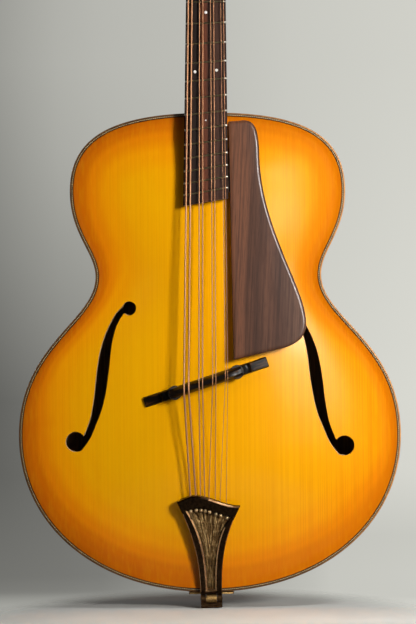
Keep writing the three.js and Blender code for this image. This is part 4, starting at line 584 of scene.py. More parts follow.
# The inside of the body gets spruce much darker than the cut f-hole walls: painted shade for the dim inside.
inside_spruce_shaded, n, shader = new_finish("bare_spruce", Roughness=0.6)
years = n.noise(n.place((1, 1, 0.01)), 420.0, 2.0, 0.6)
n.put(shader.inputs["Base Color"], n.ramp(years, [(0.35, srgb(176, 140, 92)), (0.7, srgb(140, 104, 62))]))
relief(n, shader, years, 0.2, 0.0002)

spruce_cut, n, shader = new_finish("cut_spruce", Roughness=0.5)
years = n.noise(n.place((1, 1, 0.01)), 420.0, 2.0, 0.6)
n.put(shader.inputs["Base Color"], n.ramp(years, [(0.35, srgb(226, 190, 138)), (0.7, srgb(186, 140, 88))]))

top = carved_plate("top", f_hole_loops(-1, 0.0) + f_hole_loops(1, TREBLE_DROP), TOP_ARCH,
                   [spruce_top, inside_spruce_shaded, spruce_cut])
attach(top, "instrument")
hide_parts("top_plate")

# The ribs are two thin bent strips of flamed maple, one for each side, that meet at the tail under the
# end button and at the neck. They are stained darker towards both bindings.
RIB_THICKNESS = 2.6
NECK_GAP = 10.3


def skin(rings, closed=False):
    """Points and faces of a hull drawn over rings of equal count."""
    rings = [np.asarray(ring, float) for ring in rings]
    count = len(rings[0])
    faces = []
    for k in range(len(rings) if closed else len(rings) - 1):
        here, there = k * count, (k + 1) % len(rings) * count
        faces += [(here + i, here + (i + 1) % count, there + (i + 1) % count, there + i)
                  for i in range(count)]
    if not closed:
        faces += [tuple(range(count))[::-1], tuple(range((len(rings) - 1) * count, len(rings) * count))]
    return np.concatenate(rings), faces


def face_outward(piece):
    """Turns a closed piece's faces so that they all look out."""
    shape = bmesh.new()
    shape.from_mesh(piece.data)
    bmesh.ops.recalc_face_normals(shape, faces=shape.faces)
    shape.to_mesh(piece.data)
    shape.free()


def length_along(line):
    return np.concatenate([[0], np.cumsum(np.linalg.norm(np.diff(line, axis=0), axis=1))])


def flamed(nodes, along, across, darker):
    """Amber maple with flame bars across its length; the bars lean and fade as in real curly wood."""
    where = nodes.add("ShaderNodeCombineXYZ", {"X": along, "Y": across}).outputs[0]
    wide = nodes.stretched(where, (1, 0.16, 1))
    bars = nodes.noise(wide, 130.0, 2.0, 0.45, 0.2)
    small = nodes.noise(wide, 330.0, 2.0, 0.5, 0.2)
    pores = nodes.noise(nodes.stretched(where, (0.05, 1, 1)), 900.0)
    flame = nodes.math("ADD", bars, nodes.math("MULTIPLY", small, 0.25))
    wood = nodes.ramp(flame, [
        (0.4, srgb(152, 74, 15)), (0.54, srgb(184, 101, 22)), (0.66, srgb(212, 130, 36)),
        (0.8, srgb(230, 156, 56))])
    wood = nodes.mix(nodes.span(pores, 0.4, 0.7, 0.0, 0.18), wood, srgb(120, 60, 16))
    return nodes.mix(darker, wood, srgb(92, 38, 8)), flame


maple_rib, n, shader = new_finish(
    "stained_maple_rib", Roughness=0.3, Specular_IOR_Level=0.5, Coat_Weight=0.4, Coat_Roughness=0.12)
from_rim = n.attribute("from_edge")
along_rib, up_rib = (n.math("MULTIPLY", way, 0.001) for way in (n.attribute("along"), from_rim))
maple_look, bars = flamed(n, along_rib, up_rib, n.span(from_rim, 0, 22, 0.8, 0.0))
n.put(shader.inputs["Base Color"], maple_look)
relief(n, shader, bars, 0.05, 0.0004)

for rib_name, node_name, side in (("rib_left", "rib_bass", -1), ("rib_right", "rib_treble", 1)):
    outer, inner = half_outline(0.0), half_outline(RIB_THICKNESS)
    for line in (outer, inner):
        line[0, 0], line[-1, 0] = 0.1, NECK_GAP
    depths = np.linspace(-RIB_HALF, RIB_HALF, 9)
    rings = [[(side * a[0], a[1], z) for z in depths] + [(side * b[0], b[1], z) for z in depths[::-1]]
             for a, b in zip(outer, inner)]
    rib = new_piece(rib_name, *skin(rings), [maple_rib])
    face_outward(rib)
    note(rib, "along", np.repeat(length_along(outer), 2 * len(depths)))
    note(rib, "from_edge", np.tile(RIB_HALF - np.abs(np.concatenate([depths, depths[::-1]])), len(outer)))
    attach(rib, "instrument")
    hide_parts(node_name)


# The bindings are glued into a ledge round both rims: an outer strip of reddish wood, then a black line,
# a pale strip with fine slanting stitches of darker wood and another black line next to the plate.
PLIES = [(1.35, 0), (2.05, 1), (2.7, 2), (BINDING_WIDTH, 1)]
BINDING_ROUND = 0.7

binding_wood, n, shader = new_finish("binding_wood", Roughness=0.4, Specular_IOR_Level=0.3)
# The outer strip is painted golden where the light falls, on the right side above the bottom, and in deep
# umber shade elsewhere: painted light and shade on one wood.
streaks = n.noise(n.place((30, 30, 30)), 6.0, 3.0)
painted_lit_golden = n.ramp(streaks, [(0.3, srgb(176, 112, 48)), (0.7, srgb(212, 146, 74))])
painted_shade_umber = n.ramp(streaks, [(0.3, srgb(88, 56, 24)), (0.7, srgb(118, 78, 36))])
spot = n.axes(n.place())
painted_light_share = n.math("MULTIPLY", n.span(spot[0], 0.0, 0.12), n.span(spot[2], 0.03, 0.12))
n.put(shader.inputs["Base Color"], n.mix(painted_light_share, painted_shade_umber, painted_lit_golden))
ply_black, n, shader = new_finish("black_line", Roughness=0.35)
stained = n.ramp(n.noise(n.place(), 300.0), [(0.3, srgb(26, 14, 8)), (0.7, srgb(44, 24, 14))])
n.put(shader.inputs["Base Color"], stained)
ply_pale, n, shader = new_finish("pale_strip", Roughness=0.35, Coat_Weight=0.3, Coat_Roughness=0.15)
slanting = n.math("ADD", n.attribute("along"), n.math("MULTIPLY", n.attribute("inset"), 0.9))
stitch = n.math("FRACT", n.math("MULTIPLY", slanting, 0.5))
stitch = n.levels(stitch, [(0.0, 0.0), (0.2, 0.0), (0.3, 1.0), (0.7, 1.0), (0.8, 0.0)])
n.put(shader.inputs["Base Color"], n.mix(stitch, srgb(140, 118, 78), srgb(205, 180, 130)))

section = [(0.0, RIB_HALF), (0.0, RIM_FRONT - BINDING_ROUND)]
for angle in (30, 60):
    a = math.radians(angle)
    section.append((BINDING_ROUND * (1 - math.cos(a)), RIM_FRONT - BINDING_ROUND * (1 - math.sin(a))))
section += [(BINDING_ROUND, RIM_FRONT), *((inset, RIM_FRONT) for inset, _ in PLIES),
            (BINDING_WIDTH, RIB_HALF)]
finish_of = [0, 0, 0, 0, *(kind for _, kind in PLIES), 0, 0]
lines = [full_outline(inset) for inset, _ in section]
count = len(section)
for binding_name, node_name, face in (
        ("binding_front", "top_binding", 1), ("binding_rear", "back_binding", -1)):
    points = [(*lines[k][i], face * section[k][1]) for i in range(len(lines[0])) for k in range(count)]
    faces, kinds = [], []
    for i in range(len(lines[0])):
        j = (i + 1) % len(lines[0])
        for k in range(count):
            m = (k + 1) % count
            faces.append((i * count + k, i * count + m, j * count + m, j * count + k))
            kinds.append(finish_of[k])
    binding = new_piece(binding_name, points, faces, [binding_wood, ply_black, ply_pale], kinds, 50)
    face_outward(binding)
    note(binding, "along", np.repeat(length_along(lines[0]), count))
    note(binding, "inset", np.tile([inset for inset, _ in section], len(lines[0])))
    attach(binding, "instrument")
    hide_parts(node_name)


# The back is carved from two book-matched boards of flamed maple glued along the middle, arched like
# the top, stained dark at the rim and lacquered.
TURNED_TO_BACK = BODY_TO_WORLD @ Matrix.Rotation(math.pi, 4, "Y")

maple_back, n, shader = new_finish(
    "stained_maple_back", Roughness=0.3, Specular_IOR_Level=0.5, Coat_Weight=0.4, Coat_Roughness=0.12)
spot = n.axes(n.place())
out = n.math("ABSOLUTE", spot[0])
chevron = n.math("ADD", spot[2], n.math("MULTIPLY", out, 0.22))
maple_look, bars = flamed(n, chevron, out, n.span(n.attribute("from_edge"), 0, 60, 0.85, 0.0))
seam = n.levels(n.math("MULTIPLY", out, 1000.0), [(0.0, 1.0), (0.25, 0.8), (0.4, 0.0)])
n.put(shader.inputs["Base Color"], n.mix(n.math("MULTIPLY", seam, 0.6), maple_look, srgb(70, 30, 8)))
relief(n, shader, bars, 0.05, 0.0004)

back = carved_plate("back", [], BACK_ARCH, [maple_back, inside_spruce_shaded])
back.data.transform(BODY_TO_WORLD.inverted())
back.data.transform(TURNED_TO_BACK)
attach(back, "instrument")
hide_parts("back_plate")


# Inside, willow linings widen the glue joints of ribs and plates, blocks take the neck and the end
# button, and two spruce tone bars run under the top. All of it is bare wood.
willow, n, shader = new_finish("bare_willow", Roughness=0.7)
fibres = n.noise(n.place((40, 40, 4)), 4.0, 3.0)
n.put(shader.inputs["Base Color"], n.ramp(fibres, [(0.3, srgb(176, 138, 88)), (0.7, srgb(208, 172, 120))]))
relief(n, shader, fibres, 0.2, 0.0003)


def dress(node_names, finish):
    """Gives CAD nodes that are shown as they are their finish."""
    for node_name in node_names:
        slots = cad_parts[node_name].data.materials
        slots.clear()
        slots.append(finish)


dress(["neck_block", "tail_block", "top_lining_bass", "top_lining_treble",
       "back_lining_bass", "back_lining_treble"], willow)
dress(["tone_bar_bass", "tone_bar_treble"], inside_spruce_shaded)


# The neck is one piece of mahogany with its heel, the tongue under the fingerboard and the headstock,
# which is tilted back. It is stained red-brown, has a satin lacquer, and a rod lies in its channel.
NECK_TO_WORLD = (BODY_TO_WORLD @ Matrix.Translation((-0.9, BODY_TOP, 54.9))
                 @ Matrix.Rotation(-0.0101, 4, "Z") @ Matrix.Rotation(-0.0612, 4, "X"))
SCALE_BASS, SCALE_TREBLE = 652.0, 630.0
LEVEL_FRET, LEVEL_FRET_UP = 7, 140.8
NUT_WIDTH, BOARD_TAPER = 36.0, 0.02612
NUT_BACK_FRET = -0.14


def fan_up(fret, scale):
    return LEVEL_FRET_UP + scale * (2 ** (-fret / 12) - 2 ** (-LEVEL_FRET / 12))


def board_half(up):
    return (NUT_WIDTH + BOARD_TAPER * (fan_up(0, (SCALE_BASS + SCALE_TREBLE) / 2) - up)) / 2


def fan_point(fret, across, z, narrowing=0.0, forward=0.0):
    """A place on a fret's line, from -1 at the bass edge of the board to 1 at its treble edge."""
    bass, treble = fan_up(fret, SCALE_BASS), fan_up(fret, SCALE_TREBLE)
    share = (across + 1) / 2
    low, high = narrowing - board_half(bass), board_half(treble) - narrowing
    return (low + share * (high - low), bass + share * (treble - bass) + forward, z)


NUT_UP = fan_up(0, (SCALE_BASS + SCALE_TREBLE) / 2)
NUT_BACK_UP = fan_up(NUT_BACK_FRET, (SCALE_BASS + SCALE_TREBLE) / 2)
HEAD_TILT = 0.2443
HEAD_TO_WORLD = NECK_TO_WORLD @ Matrix.Translation((0, NUT_BACK_UP, 0)) @ Matrix.Rotation(-HEAD_TILT, 4, "X")
HEAD_LENGTH, HEAD_THICKNESS, HEAD_WIDTH, HEAD_NECK_WIDTH = 182.0, 14.5, 76.0, 39.0
ROUND_STEPS = 28


def shaft_ring(fret, swell=0.0):
    nutward = min(max(fan_up(fret, SCALE_TREBLE) / NUT_UP, 0), 1)
    deep = 19 + (15.5 - 19) * nutward + swell
    ring = []
    for i in range(ROUND_STEPS + 1):
        angle = math.pi * i / ROUND_STEPS
        down = math.sin(angle) ** 0.75 if 0 < i < ROUND_STEPS else 0
        ring.append(fan_point(fret, -math.cos(angle), -deep * down))
    return ring


def heel_section(half, length):
    section = []
    for i in range(ROUND_STEPS + 1):
        angle = math.pi * i / ROUND_STEPS
        reach = math.sin(angle) ** 0.75 if 0 < i < ROUND_STEPS else 0
        section.append((half * math.cos(angle), BODY_TOP + 0.3 + length * reach))
    return section


def heel_ring(z):
    share = (50 - z) / (50 + RIM_FRONT)
    reach = max(share - 0.12, 0) / 0.88
    length = 17 + (62 - 17) * (1 - reach) ** 3
    half = board_half(0) + (13.5 - board_half(0)) * share ** 0.8
    return [(x - 0.9, y, z) for x, y in heel_section(half, length)]


def head_outline(inset=0.0, forward=0.0):
    """The headstock seen from the front, in its own plane."""
    half, neck_half = HEAD_WIDTH / 2, HEAD_NECK_WIDTH / 2
    cheek, crown = 0.93 * half, 0.6 * half
    low, high, crest = 0.2 * HEAD_LENGTH, 0.84 * HEAD_LENGTH, 0.95 * HEAD_LENGTH
    slant = fan_up(NUT_BACK_FRET, SCALE_BASS) - NUT_BACK_UP

    def corner(a, b, c, steps):
        a, b, c = (np.array(v, float) for v in (a, b, c))
        return bowed(a, a + (b - a) * 2 / 3, c + (b - c) * 2 / 3, c, steps, False)

    right = np.concatenate([
        bowed((neck_half, forward), (neck_half, low / 2), (cheek, low / 2), (cheek, low), 16, False),
        bowed((cheek, low), (cheek, low), (half, high), (half, high), 4, False),
        corner((half, high), (half, crest), (crown, crest), 10),
        corner((crown, crest), (crown / 2, HEAD_LENGTH), (0, HEAD_LENGTH), 8),
    ])
    left = right[1:][::-1] * (-1, 1)
    line = np.concatenate([right, [(0, HEAD_LENGTH)], left, [(-neck_half, forward + slant)]])
    line[0, 1] = forward - slant
    if inset:
        way = np.roll(line, -1, axis=0) - np.roll(line, 1, axis=0)
        way /= np.linalg.norm(way, axis=1, keepdims=True)
        line = line + inset * np.stack([-way[:, 1], way[:, 0]], axis=1)
    return line


def slab_rings(outline_at, levels):
    """Rings for a slab: at each level, a height and how far its edge is set in."""
    return [[(x, y, z) for x, y in outline_at(inset)] for z, inset in levels]


def box_rings(x0, x1, y0, y1, z0, z1):
    return [[(x0, y0, z), (x1, y0, z), (x1, y1, z), (x0, y1, z)] for z in (z0, z1)]


def closed_piece(name, rings, finishes, to_world, sharp=35.0, closed=False):
    piece = new_piece(name, *skin(rings, closed), finishes, None, sharp, to_world)
    face_outward(piece)
    return piece


def carve(piece, rings, to_world, operation="DIFFERENCE"):
    """Cuts the closed shape that the rings make out of a piece, or joins it on."""
    tool = closed_piece("tool", rings, piece.data.materials[:], to_world)
    change = piece.modifiers.new("carve", "BOOLEAN")
    change.operation = operation
    change.solver = "EXACT"
    change.object = tool
    graph = bpy.context.evaluated_depsgraph_get()
    mesh = bpy.data.meshes.new_from_object(piece.evaluated_get(graph))
    piece.modifiers.clear()
    piece.data = mesh
    bpy.data.objects.remove(tool)


def stripe_wood(name, dark, middle, light, across, along, turn=0.0, stretch=(0.35, 0.5, 0.68), **sockets):
    """Straight-grained wood: streaks that run up the instrument, leaning by turn, with fine pores."""
    finish, nodes, shader = new_finish(name, **sockets)
    turned = nodes.place(turn=(0, turn, 0))
    streak = nodes.noise(nodes.stretched(turned, (across, across, along)), 1.0, 3.0, 0.55, 0.6)
    fine = nodes.noise(nodes.stretched(turned, (across * 9, across * 9, along * 2.5)), 1.0, 2.0, 0.6)
    low, centre, high = stretch
    wood = nodes.ramp(streak, [(low, dark), (centre, middle), (high, light)])
    wood = nodes.mix(nodes.span(fine, 0.42, 0.7, 0.0, 0.55), wood, dark)
    nodes.put(shader.inputs["Base Color"], wood)
    relief(nodes, shader, fine, 0.1, 0.0002)
    return finish


mahogany = stripe_wood("stained_mahogany", srgb(58, 26, 12), srgb(104, 50, 22), srgb(138, 72, 32),
                       130, 9, Roughness=0.32, Coat_Weight=0.25, Coat_Roughness=0.2)

stations = [13.6, 12.5, 11, 9, 7, 5, 3.5, 2.3, 1.5, 1.0, 0.7, 0.45, 0.25, 0.1, 0.0, NUT_BACK_FRET]
swells = [3.2 * math.exp(-((fan_up(f, 641) - NUT_UP + 4) / 8) ** 2) for f in stations]
shaft_rings = [shaft_ring(f, s) for f, s in zip(stations, swells)]
neck = closed_piece("neck_shaft", shaft_rings, [mahogany], NECK_TO_WORLD)
heel_levels = [50 - (50 + RIM_FRONT) * s for s in np.linspace(0, 1, 40) ** 1.2]
carve(neck, [heel_ring(z) for z in heel_levels], BODY_TO_WORLD, "UNION")
tongue_rings = [
    [fan_point(fret, a, z, narrowing) for a, z in ((-1, -deep), (1, -deep), (1, 0), (-1, 0))]
    for fret, deep, narrowing in ((20.4, 4.2, 1.5), (13, 8.5, 0.75))]
carve(neck, tongue_rings, NECK_TO_WORLD, "UNION")
tenon_rings = box_rings(-10, 10, BODY_TOP - 17.6, BODY_TOP + 8.5, -31, 31)
carve(neck, tenon_rings, BODY_TO_WORLD, "UNION")
head_rings = slab_rings(head_outline, [
    (-HEAD_THICKNESS, 1.6), (-HEAD_THICKNESS + 0.5, 0.6), (-HEAD_THICKNESS + 1.6, 0.0), (0.0, 0.0)])
carve(neck, head_rings, HEAD_TO_WORLD, "UNION")
POCKET = box_rings(-6, 6, NUT_BACK_UP + 3, NUT_BACK_UP + 27, -12.5, 10)
carve(neck, POCKET, NECK_TO_WORLD)
carve(neck, box_rings(-3.2, 3.2, 13.7, NUT_BACK_UP + 3.3, -9.7, 4), NECK_TO_WORLD)
smooth(neck.data, 32)
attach(neck, "instrument")
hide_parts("neck")

ebony = stripe_wood("ebony", srgb(20, 16, 14), srgb(32, 25, 21), srgb(50, 38, 30), 150, 7,
                    Roughness=0.32, Specular_IOR_Level=0.45)


def cap_outline(inset):
    return [(x - 0.9, y) for x, y in heel_section(13.5 - inset, 17 - inset)]


heel_cap = closed_piece("heel_cap_plate", slab_rings(cap_outline, [
    (-RIM_FRONT - 0.3, 0), (-RIM_FRONT - 2.5, 0), (-RIM_FRONT - 3.15, 0.35), (-RIM_FRONT - 3.3, 0.9)]),
    [ebony], BODY_TO_WORLD)
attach(heel_cap, "instrument")
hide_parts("heel_cap")


# The fingerboard is a dark rosewood plank whose ends follow the fan of the frets. Twenty nickel-silver
# frets are pressed in and filed flush at the edges, and pearl dots mark the usual places.
BOARD_THICKNESS = 6.5
FRET_COUNT = 20
FRET_WIDTH, FRET_HEIGHT = 1.9, 1.1
BOARD_EDGE = 0.45

board_wood, n, shader = new_finish("board_rosewood", Roughness=0.36, Specular_IOR_Level=0.22)
spot = n.axes(n.place())
wander = n.noise(n.place((20, 20, 7)), 1.0, 2.0, 0.5)
across_board = n.math("ADD", spot[0], n.span(wander, 0.3, 0.7, -0.0016, 0.0016))
heart = n.ramp(n.span(across_board, -0.025, 0.025), [
    (0.1, srgb(50, 31, 22)), (0.3, srgb(34, 22, 16)), (0.37, srgb(40, 25, 18)), (0.41, srgb(112, 60, 38)),
    (0.5, srgb(104, 56, 36)), (0.56, srgb(58, 37, 28)), (0.75, srgb(74, 48, 37)), (0.85, srgb(54, 34, 26))])
vessels = n.noise(n.place((900, 900, 14)), 1.0, 2.0, 0.6)
n.put(shader.inputs["Base Color"], n.mix(n.span(vessels, 0.42, 0.7, 0.0, 0.6), heart, srgb(26, 16, 12)))
relief(n, shader, vessels, 0.1, 0.0002)
board_rings = []
for fret in np.linspace(21, 0, 22):
    upright, flat = (BOARD_THICKNESS - BOARD_EDGE, 0.0), (BOARD_THICKNESS, BOARD_EDGE)
    board_rings.append([fan_point(fret, across, z, narrowing) for across, (z, narrowing) in (
        (-1, (0.3, 0.0)), (1, (0.3, 0.0)), (1, upright), (1, flat), (-1, flat), (-1, upright))])
board = closed_piece("fingerboard_plank", board_rings, [board_wood], NECK_TO_WORLD)
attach(board, "instrument")
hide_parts("fingerboard")



def speckled(name, dark, light, grain, scale, **sockets):
    """A finish whose colour drifts a little between a darker and a lighter shade."""
    finish, nodes, shader = new_finish(name, **sockets)
    drift = nodes.noise(nodes.place((grain,) * 3), scale, 3.0)
    nodes.put(shader.inputs["Base Color"], nodes.ramp(drift, [(0.3, dark), (0.7, light)]))
    return finish


fret_metal = speckled("fret_metal", srgb(136, 124, 92), srgb(176, 164, 128), 90, 5.0,
                      Metallic=1.0, Roughness=0.28)
# The filed ends get a far paler metal than the crowns: a painted highlight that makes them show as bright
# dots.
fret_tip_glint = speckled("fret_tip_glint", srgb(226, 220, 204), srgb(246, 242, 230), 90, 5.0,
                    Metallic=1.0, Roughness=0.5)
# From a fret's end inwards: how far in, and the share of its full height
FRET_END = [(0.1, 0.1), (0.2, 0.35), (0.5, 0.65), (1.0, 0.87), (1.6, 0.98), (2.2, 1.0)]
frets_points, frets_faces = [], []
for fret in range(1, FRET_COUNT + 1):
    rings = []
    for across, narrowing, lift in (
            *((-1, *end) for end in FRET_END), *((1, *end) for end in reversed(FRET_END))):
        section = [fan_point(fret, across, BOARD_THICKNESS - 0.3, narrowing, -FRET_WIDTH / 2)]
        for angle in np.linspace(math.pi, 0, 7):
            crown = BOARD_THICKNESS + FRET_HEIGHT * lift * math.sin(angle) ** 0.8
            section.append(fan_point(fret, across, crown, narrowing, FRET_WIDTH / 2 * math.cos(angle)))
        section.append(fan_point(fret, across, BOARD_THICKNESS - 0.3, narrowing, FRET_WIDTH / 2))
        rings.append(section)
    points, faces = skin(rings)
    start = sum(len(p) for p in frets_points)
    frets_points.append(points)
    frets_faces += [tuple(start + i for i in face) for face in faces]
frets_points = np.concatenate(frets_points)
FRET_TIP_LENGTH = 1.9


def is_tip(face):
    """Whether a face of the frets lies on the filed end of a fret."""
    corners = [frets_points[i] for i in face]
    outermost = max(abs(x) - board_half(y) for x, y, _ in corners)
    at_side = abs(np.mean([x for x, _, _ in corners])) > 16
    return int(at_side and len(face) == 4 and outermost > -FRET_TIP_LENGTH)


on_tip = [is_tip(face) for face in frets_faces]
frets = new_piece("frets", frets_points, frets_faces, [fret_metal, fret_tip_glint], on_tip, 50, NECK_TO_WORLD)
face_outward(frets)
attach(frets, "instrument")

pearl, n, shader = new_finish("pearl", Roughness=0.2, Coat_Weight=0.4)
shimmer = n.noise(n.place(), 900.0, 3.0, 0.5, 1.5)
n.put(shader.inputs["Base Color"], n.ramp(shimmer, [
    (0.3, srgb(206, 210, 206)), (0.5, srgb(244, 242, 236)), (0.7, srgb(226, 214, 224))]))


def round_rings(x, y, radius, levels, sides=24):
    """Rings of a turned piece that stands on the local plane at x, y."""
    turn = [2 * math.pi * i / sides for i in range(sides)]
    return [[(x + radius * r * math.cos(a), y + radius * r * math.sin(a), z) for a in turn]
            for z, r in levels]


DOTS = [(3, 0, 1.6), (5, 0, 1.6), (7, 0, 1.6), (9, 0, 1.6), (12, -0.52, 1.6), (12, 0.52, 1.6), (15, 0, 0.8)]
for mark, (fret, across, radius) in enumerate(DOTS):
    low, high = (fan_point(f, across, 0) for f in (fret, fret - 1))
    x, y = (low[0] + high[0]) / 2, (low[1] + high[1]) / 2
    dot_rings = round_rings(x, y, radius, [
        (BOARD_THICKNESS - 0.4, 1), (BOARD_THICKNESS + 0.02, 1), (BOARD_THICKNESS + 0.06, 0.9)])
    dot = closed_piece(f"dot_{mark + 1}", dot_rings, [pearl], NECK_TO_WORLD)
    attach(dot, "instrument")


# The nut is a strip of bone with eight slots, glued across the end of the board. Behind it the
# truss rod's brass nut sits in a pocket under a screwed cover on the rosewood headplate.
STRING_NAMES = ["low_c_1", "low_c_2", "low_g_1", "low_g_2", "d_1", "d_2", "a_1", "a_2"]
STRING_DIAMETERS = [1.9, 1.9, 1.24, 1.24, 0.88, 0.88, 0.6, 0.6]
NUT_SHARES = [-0.5, -0.4, -0.2, -0.095, 0.115, 0.215, 0.4, 0.5]
NUT_SPREAD = 32.0
NUT_TOP = 7.8
NUT_FALL = 0.8

bone = speckled("bone", srgb(214, 202, 172), srgb(236, 228, 204), 60, 8.0, Roughness=0.35)
slots = [share * NUT_SPREAD / (NUT_WIDTH / 2) for share in NUT_SHARES]
places = sorted({-1.0, 1.0, *[s + d * width / NUT_WIDTH for s, width in zip(slots, STRING_DIAMETERS)
                              for d in (-1.25, -0.8, 0.0, 0.8, 1.25)], *np.linspace(-0.97, 0.97, 12)})


def nut_top(across):
    lift = 0.9
    for s, width in zip(slots, STRING_DIAMETERS):
        if abs(across - s) <= 0.85 * width / NUT_WIDTH:
            lift = 0.0
    return lift


nut_rings = []
for across in places:
    lift = nut_top(across)
    front, rear = NUT_TOP + lift, NUT_TOP - NUT_FALL + lift
    edge = 0.6 if abs(across) > 0.99 else 0.0
    nut_rings.append([
        fan_point(0, across, 0.3, 0, 0.3), fan_point(0, across, front - 0.5 - edge, 0, 0.3),
        fan_point(0, across, front - edge, 0, 0.8), fan_point(NUT_BACK_FRET, across, rear - edge, 0, -0.9),
        fan_point(NUT_BACK_FRET, across, rear - 0.7 - edge, 0, -0.3),
        fan_point(NUT_BACK_FRET, across, 0.3, 0, -0.3)])
nut = closed_piece("nut_strip", nut_rings, [bone], NECK_TO_WORLD)
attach(nut, "instrument")
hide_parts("nut")

rod_steel = speckled("rod_steel", srgb(120, 120, 122), srgb(160, 160, 162), 50, 8.0,
                     Metallic=1.0, Roughness=0.4)
rod_brass = speckled("rod_brass", srgb(160, 122, 56), srgb(204, 164, 84), 60, 8.0,
                     Metallic=1.0, Roughness=0.32)
dress(["truss_rod"], rod_steel)
dress(["truss_rod_nut"], rod_brass)

plate_wood = stripe_wood("headplate_rosewood", srgb(34, 20, 16), srgb(66, 42, 32), srgb(104, 70, 54), 90, 6,
                         Roughness=0.25, Coat_Weight=0.4, Coat_Roughness=0.1)
headplate = closed_piece("headplate_veneer", slab_rings(lambda inset: head_outline(inset, 1.0), [
    (0.3, 0), (1.5, 0), (2.1, 0.3), (2.3, 0.9)]), [plate_wood], HEAD_TO_WORLD)
carve(headplate, POCKET, NECK_TO_WORLD)
smooth(headplate.data, 32)
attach(headplate, "instrument")
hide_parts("headplate")


def cover_outline(inset):
    right = bowed((10, 3.5), (10, 20.5), (5, 37.5), (0, 37.5), 14)
    line = np.concatenate([right, right[:-1][::-1] * (-1, 1)])
    middle = np.array([(0, 16)])
    return middle + (line - middle) * (1 - inset / 10)


cover = closed_piece("rod_cover", slab_rings(cover_outline, [
    (2.6, 0), (3.6, 0), (4.05, 0.35), (4.2, 1.1)]), [ebony], HEAD_TO_WORLD)
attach(cover, "instrument")
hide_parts("truss_rod_cover")

screw_brass = speckled("screw_brass", srgb(168, 130, 62), srgb(208, 172, 96), 60, 12.0,
                       Metallic=1.0, Roughness=0.3)


def slotted_screw(name, x, y, z, radius, turn, to_world):
    """A round-headed screw with its slot cut in."""
    head = [(z - 0.8, 1.0), (z, 1.0), (z + 0.35 * radius, 0.8), (z + 0.5 * radius, 0.45)]
    screw = closed_piece(name, round_rings(x, y, radius, head), [screw_brass], to_world)
    turned = Matrix.Translation((x, y, z)) @ Matrix.Rotation(turn, 4, "Z")
    long, wide = 1.2 * radius, 0.13 * radius
    carve(screw, box_rings(-long, long, -wide, wide, radius * 0.22, radius), to_world @ turned)
    smooth(screw.data, 35)
    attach(screw, "instrument")


for i, (x, y, turn) in enumerate(((-7.4, 7.0, 0.4), (7.4, 7.0, 1.3), (0, 33.0, 2.2))):
    slotted_screw(f"cover_screw_{i + 1}", x, y, 4.0, 1.6, turn, HEAD_TO_WORLD)

# Each string has an open worm-gear tuner: on the back of the headstock a brass plate with lugs for each
# side, a brass post with a helical gear through the wood, and a steel worm whose shaft ends in a button.
TUNER_SIDE, TUNER_FIRST_UP, TUNER_SPACING = 25.0, 47.0, 31.0
POST_RADIUS, POST_FRONT = 3.0, 15.0
PLATE_FRONT, PLATE_BACK = -14.8, -16.1
GEAR_FRONT, GEAR_BACK = -18.3, -21.3
WORM_DEEP = (GEAR_FRONT + GEAR_BACK) / 2
GEAR_TEETH, GEAR_PITCH_RADIUS, GEAR_ROOT, GEAR_TIP = 14, 6.4, 5.55, 7.15
WORM_OFFSET, WORM_RADIUS, WORM_ROOT, SHAFT_RADIUS = 9.35, 3.0, 1.85, 1.6
WORM_PITCH = 2 * math.pi * GEAR_PITCH_RADIUS / GEAR_TEETH
WINDING_TURNS = 2


def tuner_place(i):
    side = -1 if i < 4 else 1
    return side, side * TUNER_SIDE, TUNER_FIRST_UP + (i if i < 4 else 7 - i) * TUNER_SPACING


def winding_top(i):
    return 2.8 + (WINDING_TURNS + 1) * (STRING_DIAMETERS[i] + 0.5)


def metal(name, dark, light, roughness, scale=60, metallic=1.0):
    """A metal whose colour is worn unevenly from a darker to a lighter shade."""
    finish, nodes, shader = new_finish(name, Metallic=metallic, Roughness=roughness)
    worn = nodes.noise(nodes.place((scale, scale, scale)), 10.0, 4.0, 0.6, 0.4)
    nodes.put(shader.inputs["Base Color"], nodes.ramp(worn, [(0.32, dark), (0.68, light)]))
    return finish


tuner_brass = metal("tuner_brass", srgb(150, 110, 48), srgb(206, 166, 88), 0.3)
worm_steel = metal("worm_steel", srgb(120, 118, 114), srgb(186, 184, 178), 0.28)


def along_x(rings):
    """Rings drawn round the Z axis, laid along X."""
    return [[(z, x, y) for x, y, z in ring] for ring in rings]


def plate_outline(side, inset):
    x, low, high, half = side * TUNER_SIDE, 23.65, 154.0, 10.5
    turn = np.linspace(0, math.pi, 22)
    top = [(x + (half - inset) * math.cos(a), high - 5.25 + (5.25 - inset) * math.sin(a)) for a in turn]
    low_end = [(x - (half - inset) * math.cos(a), low + 5.25 - (5.25 - inset) * math.sin(a)) for a in turn]
    return top + low_end


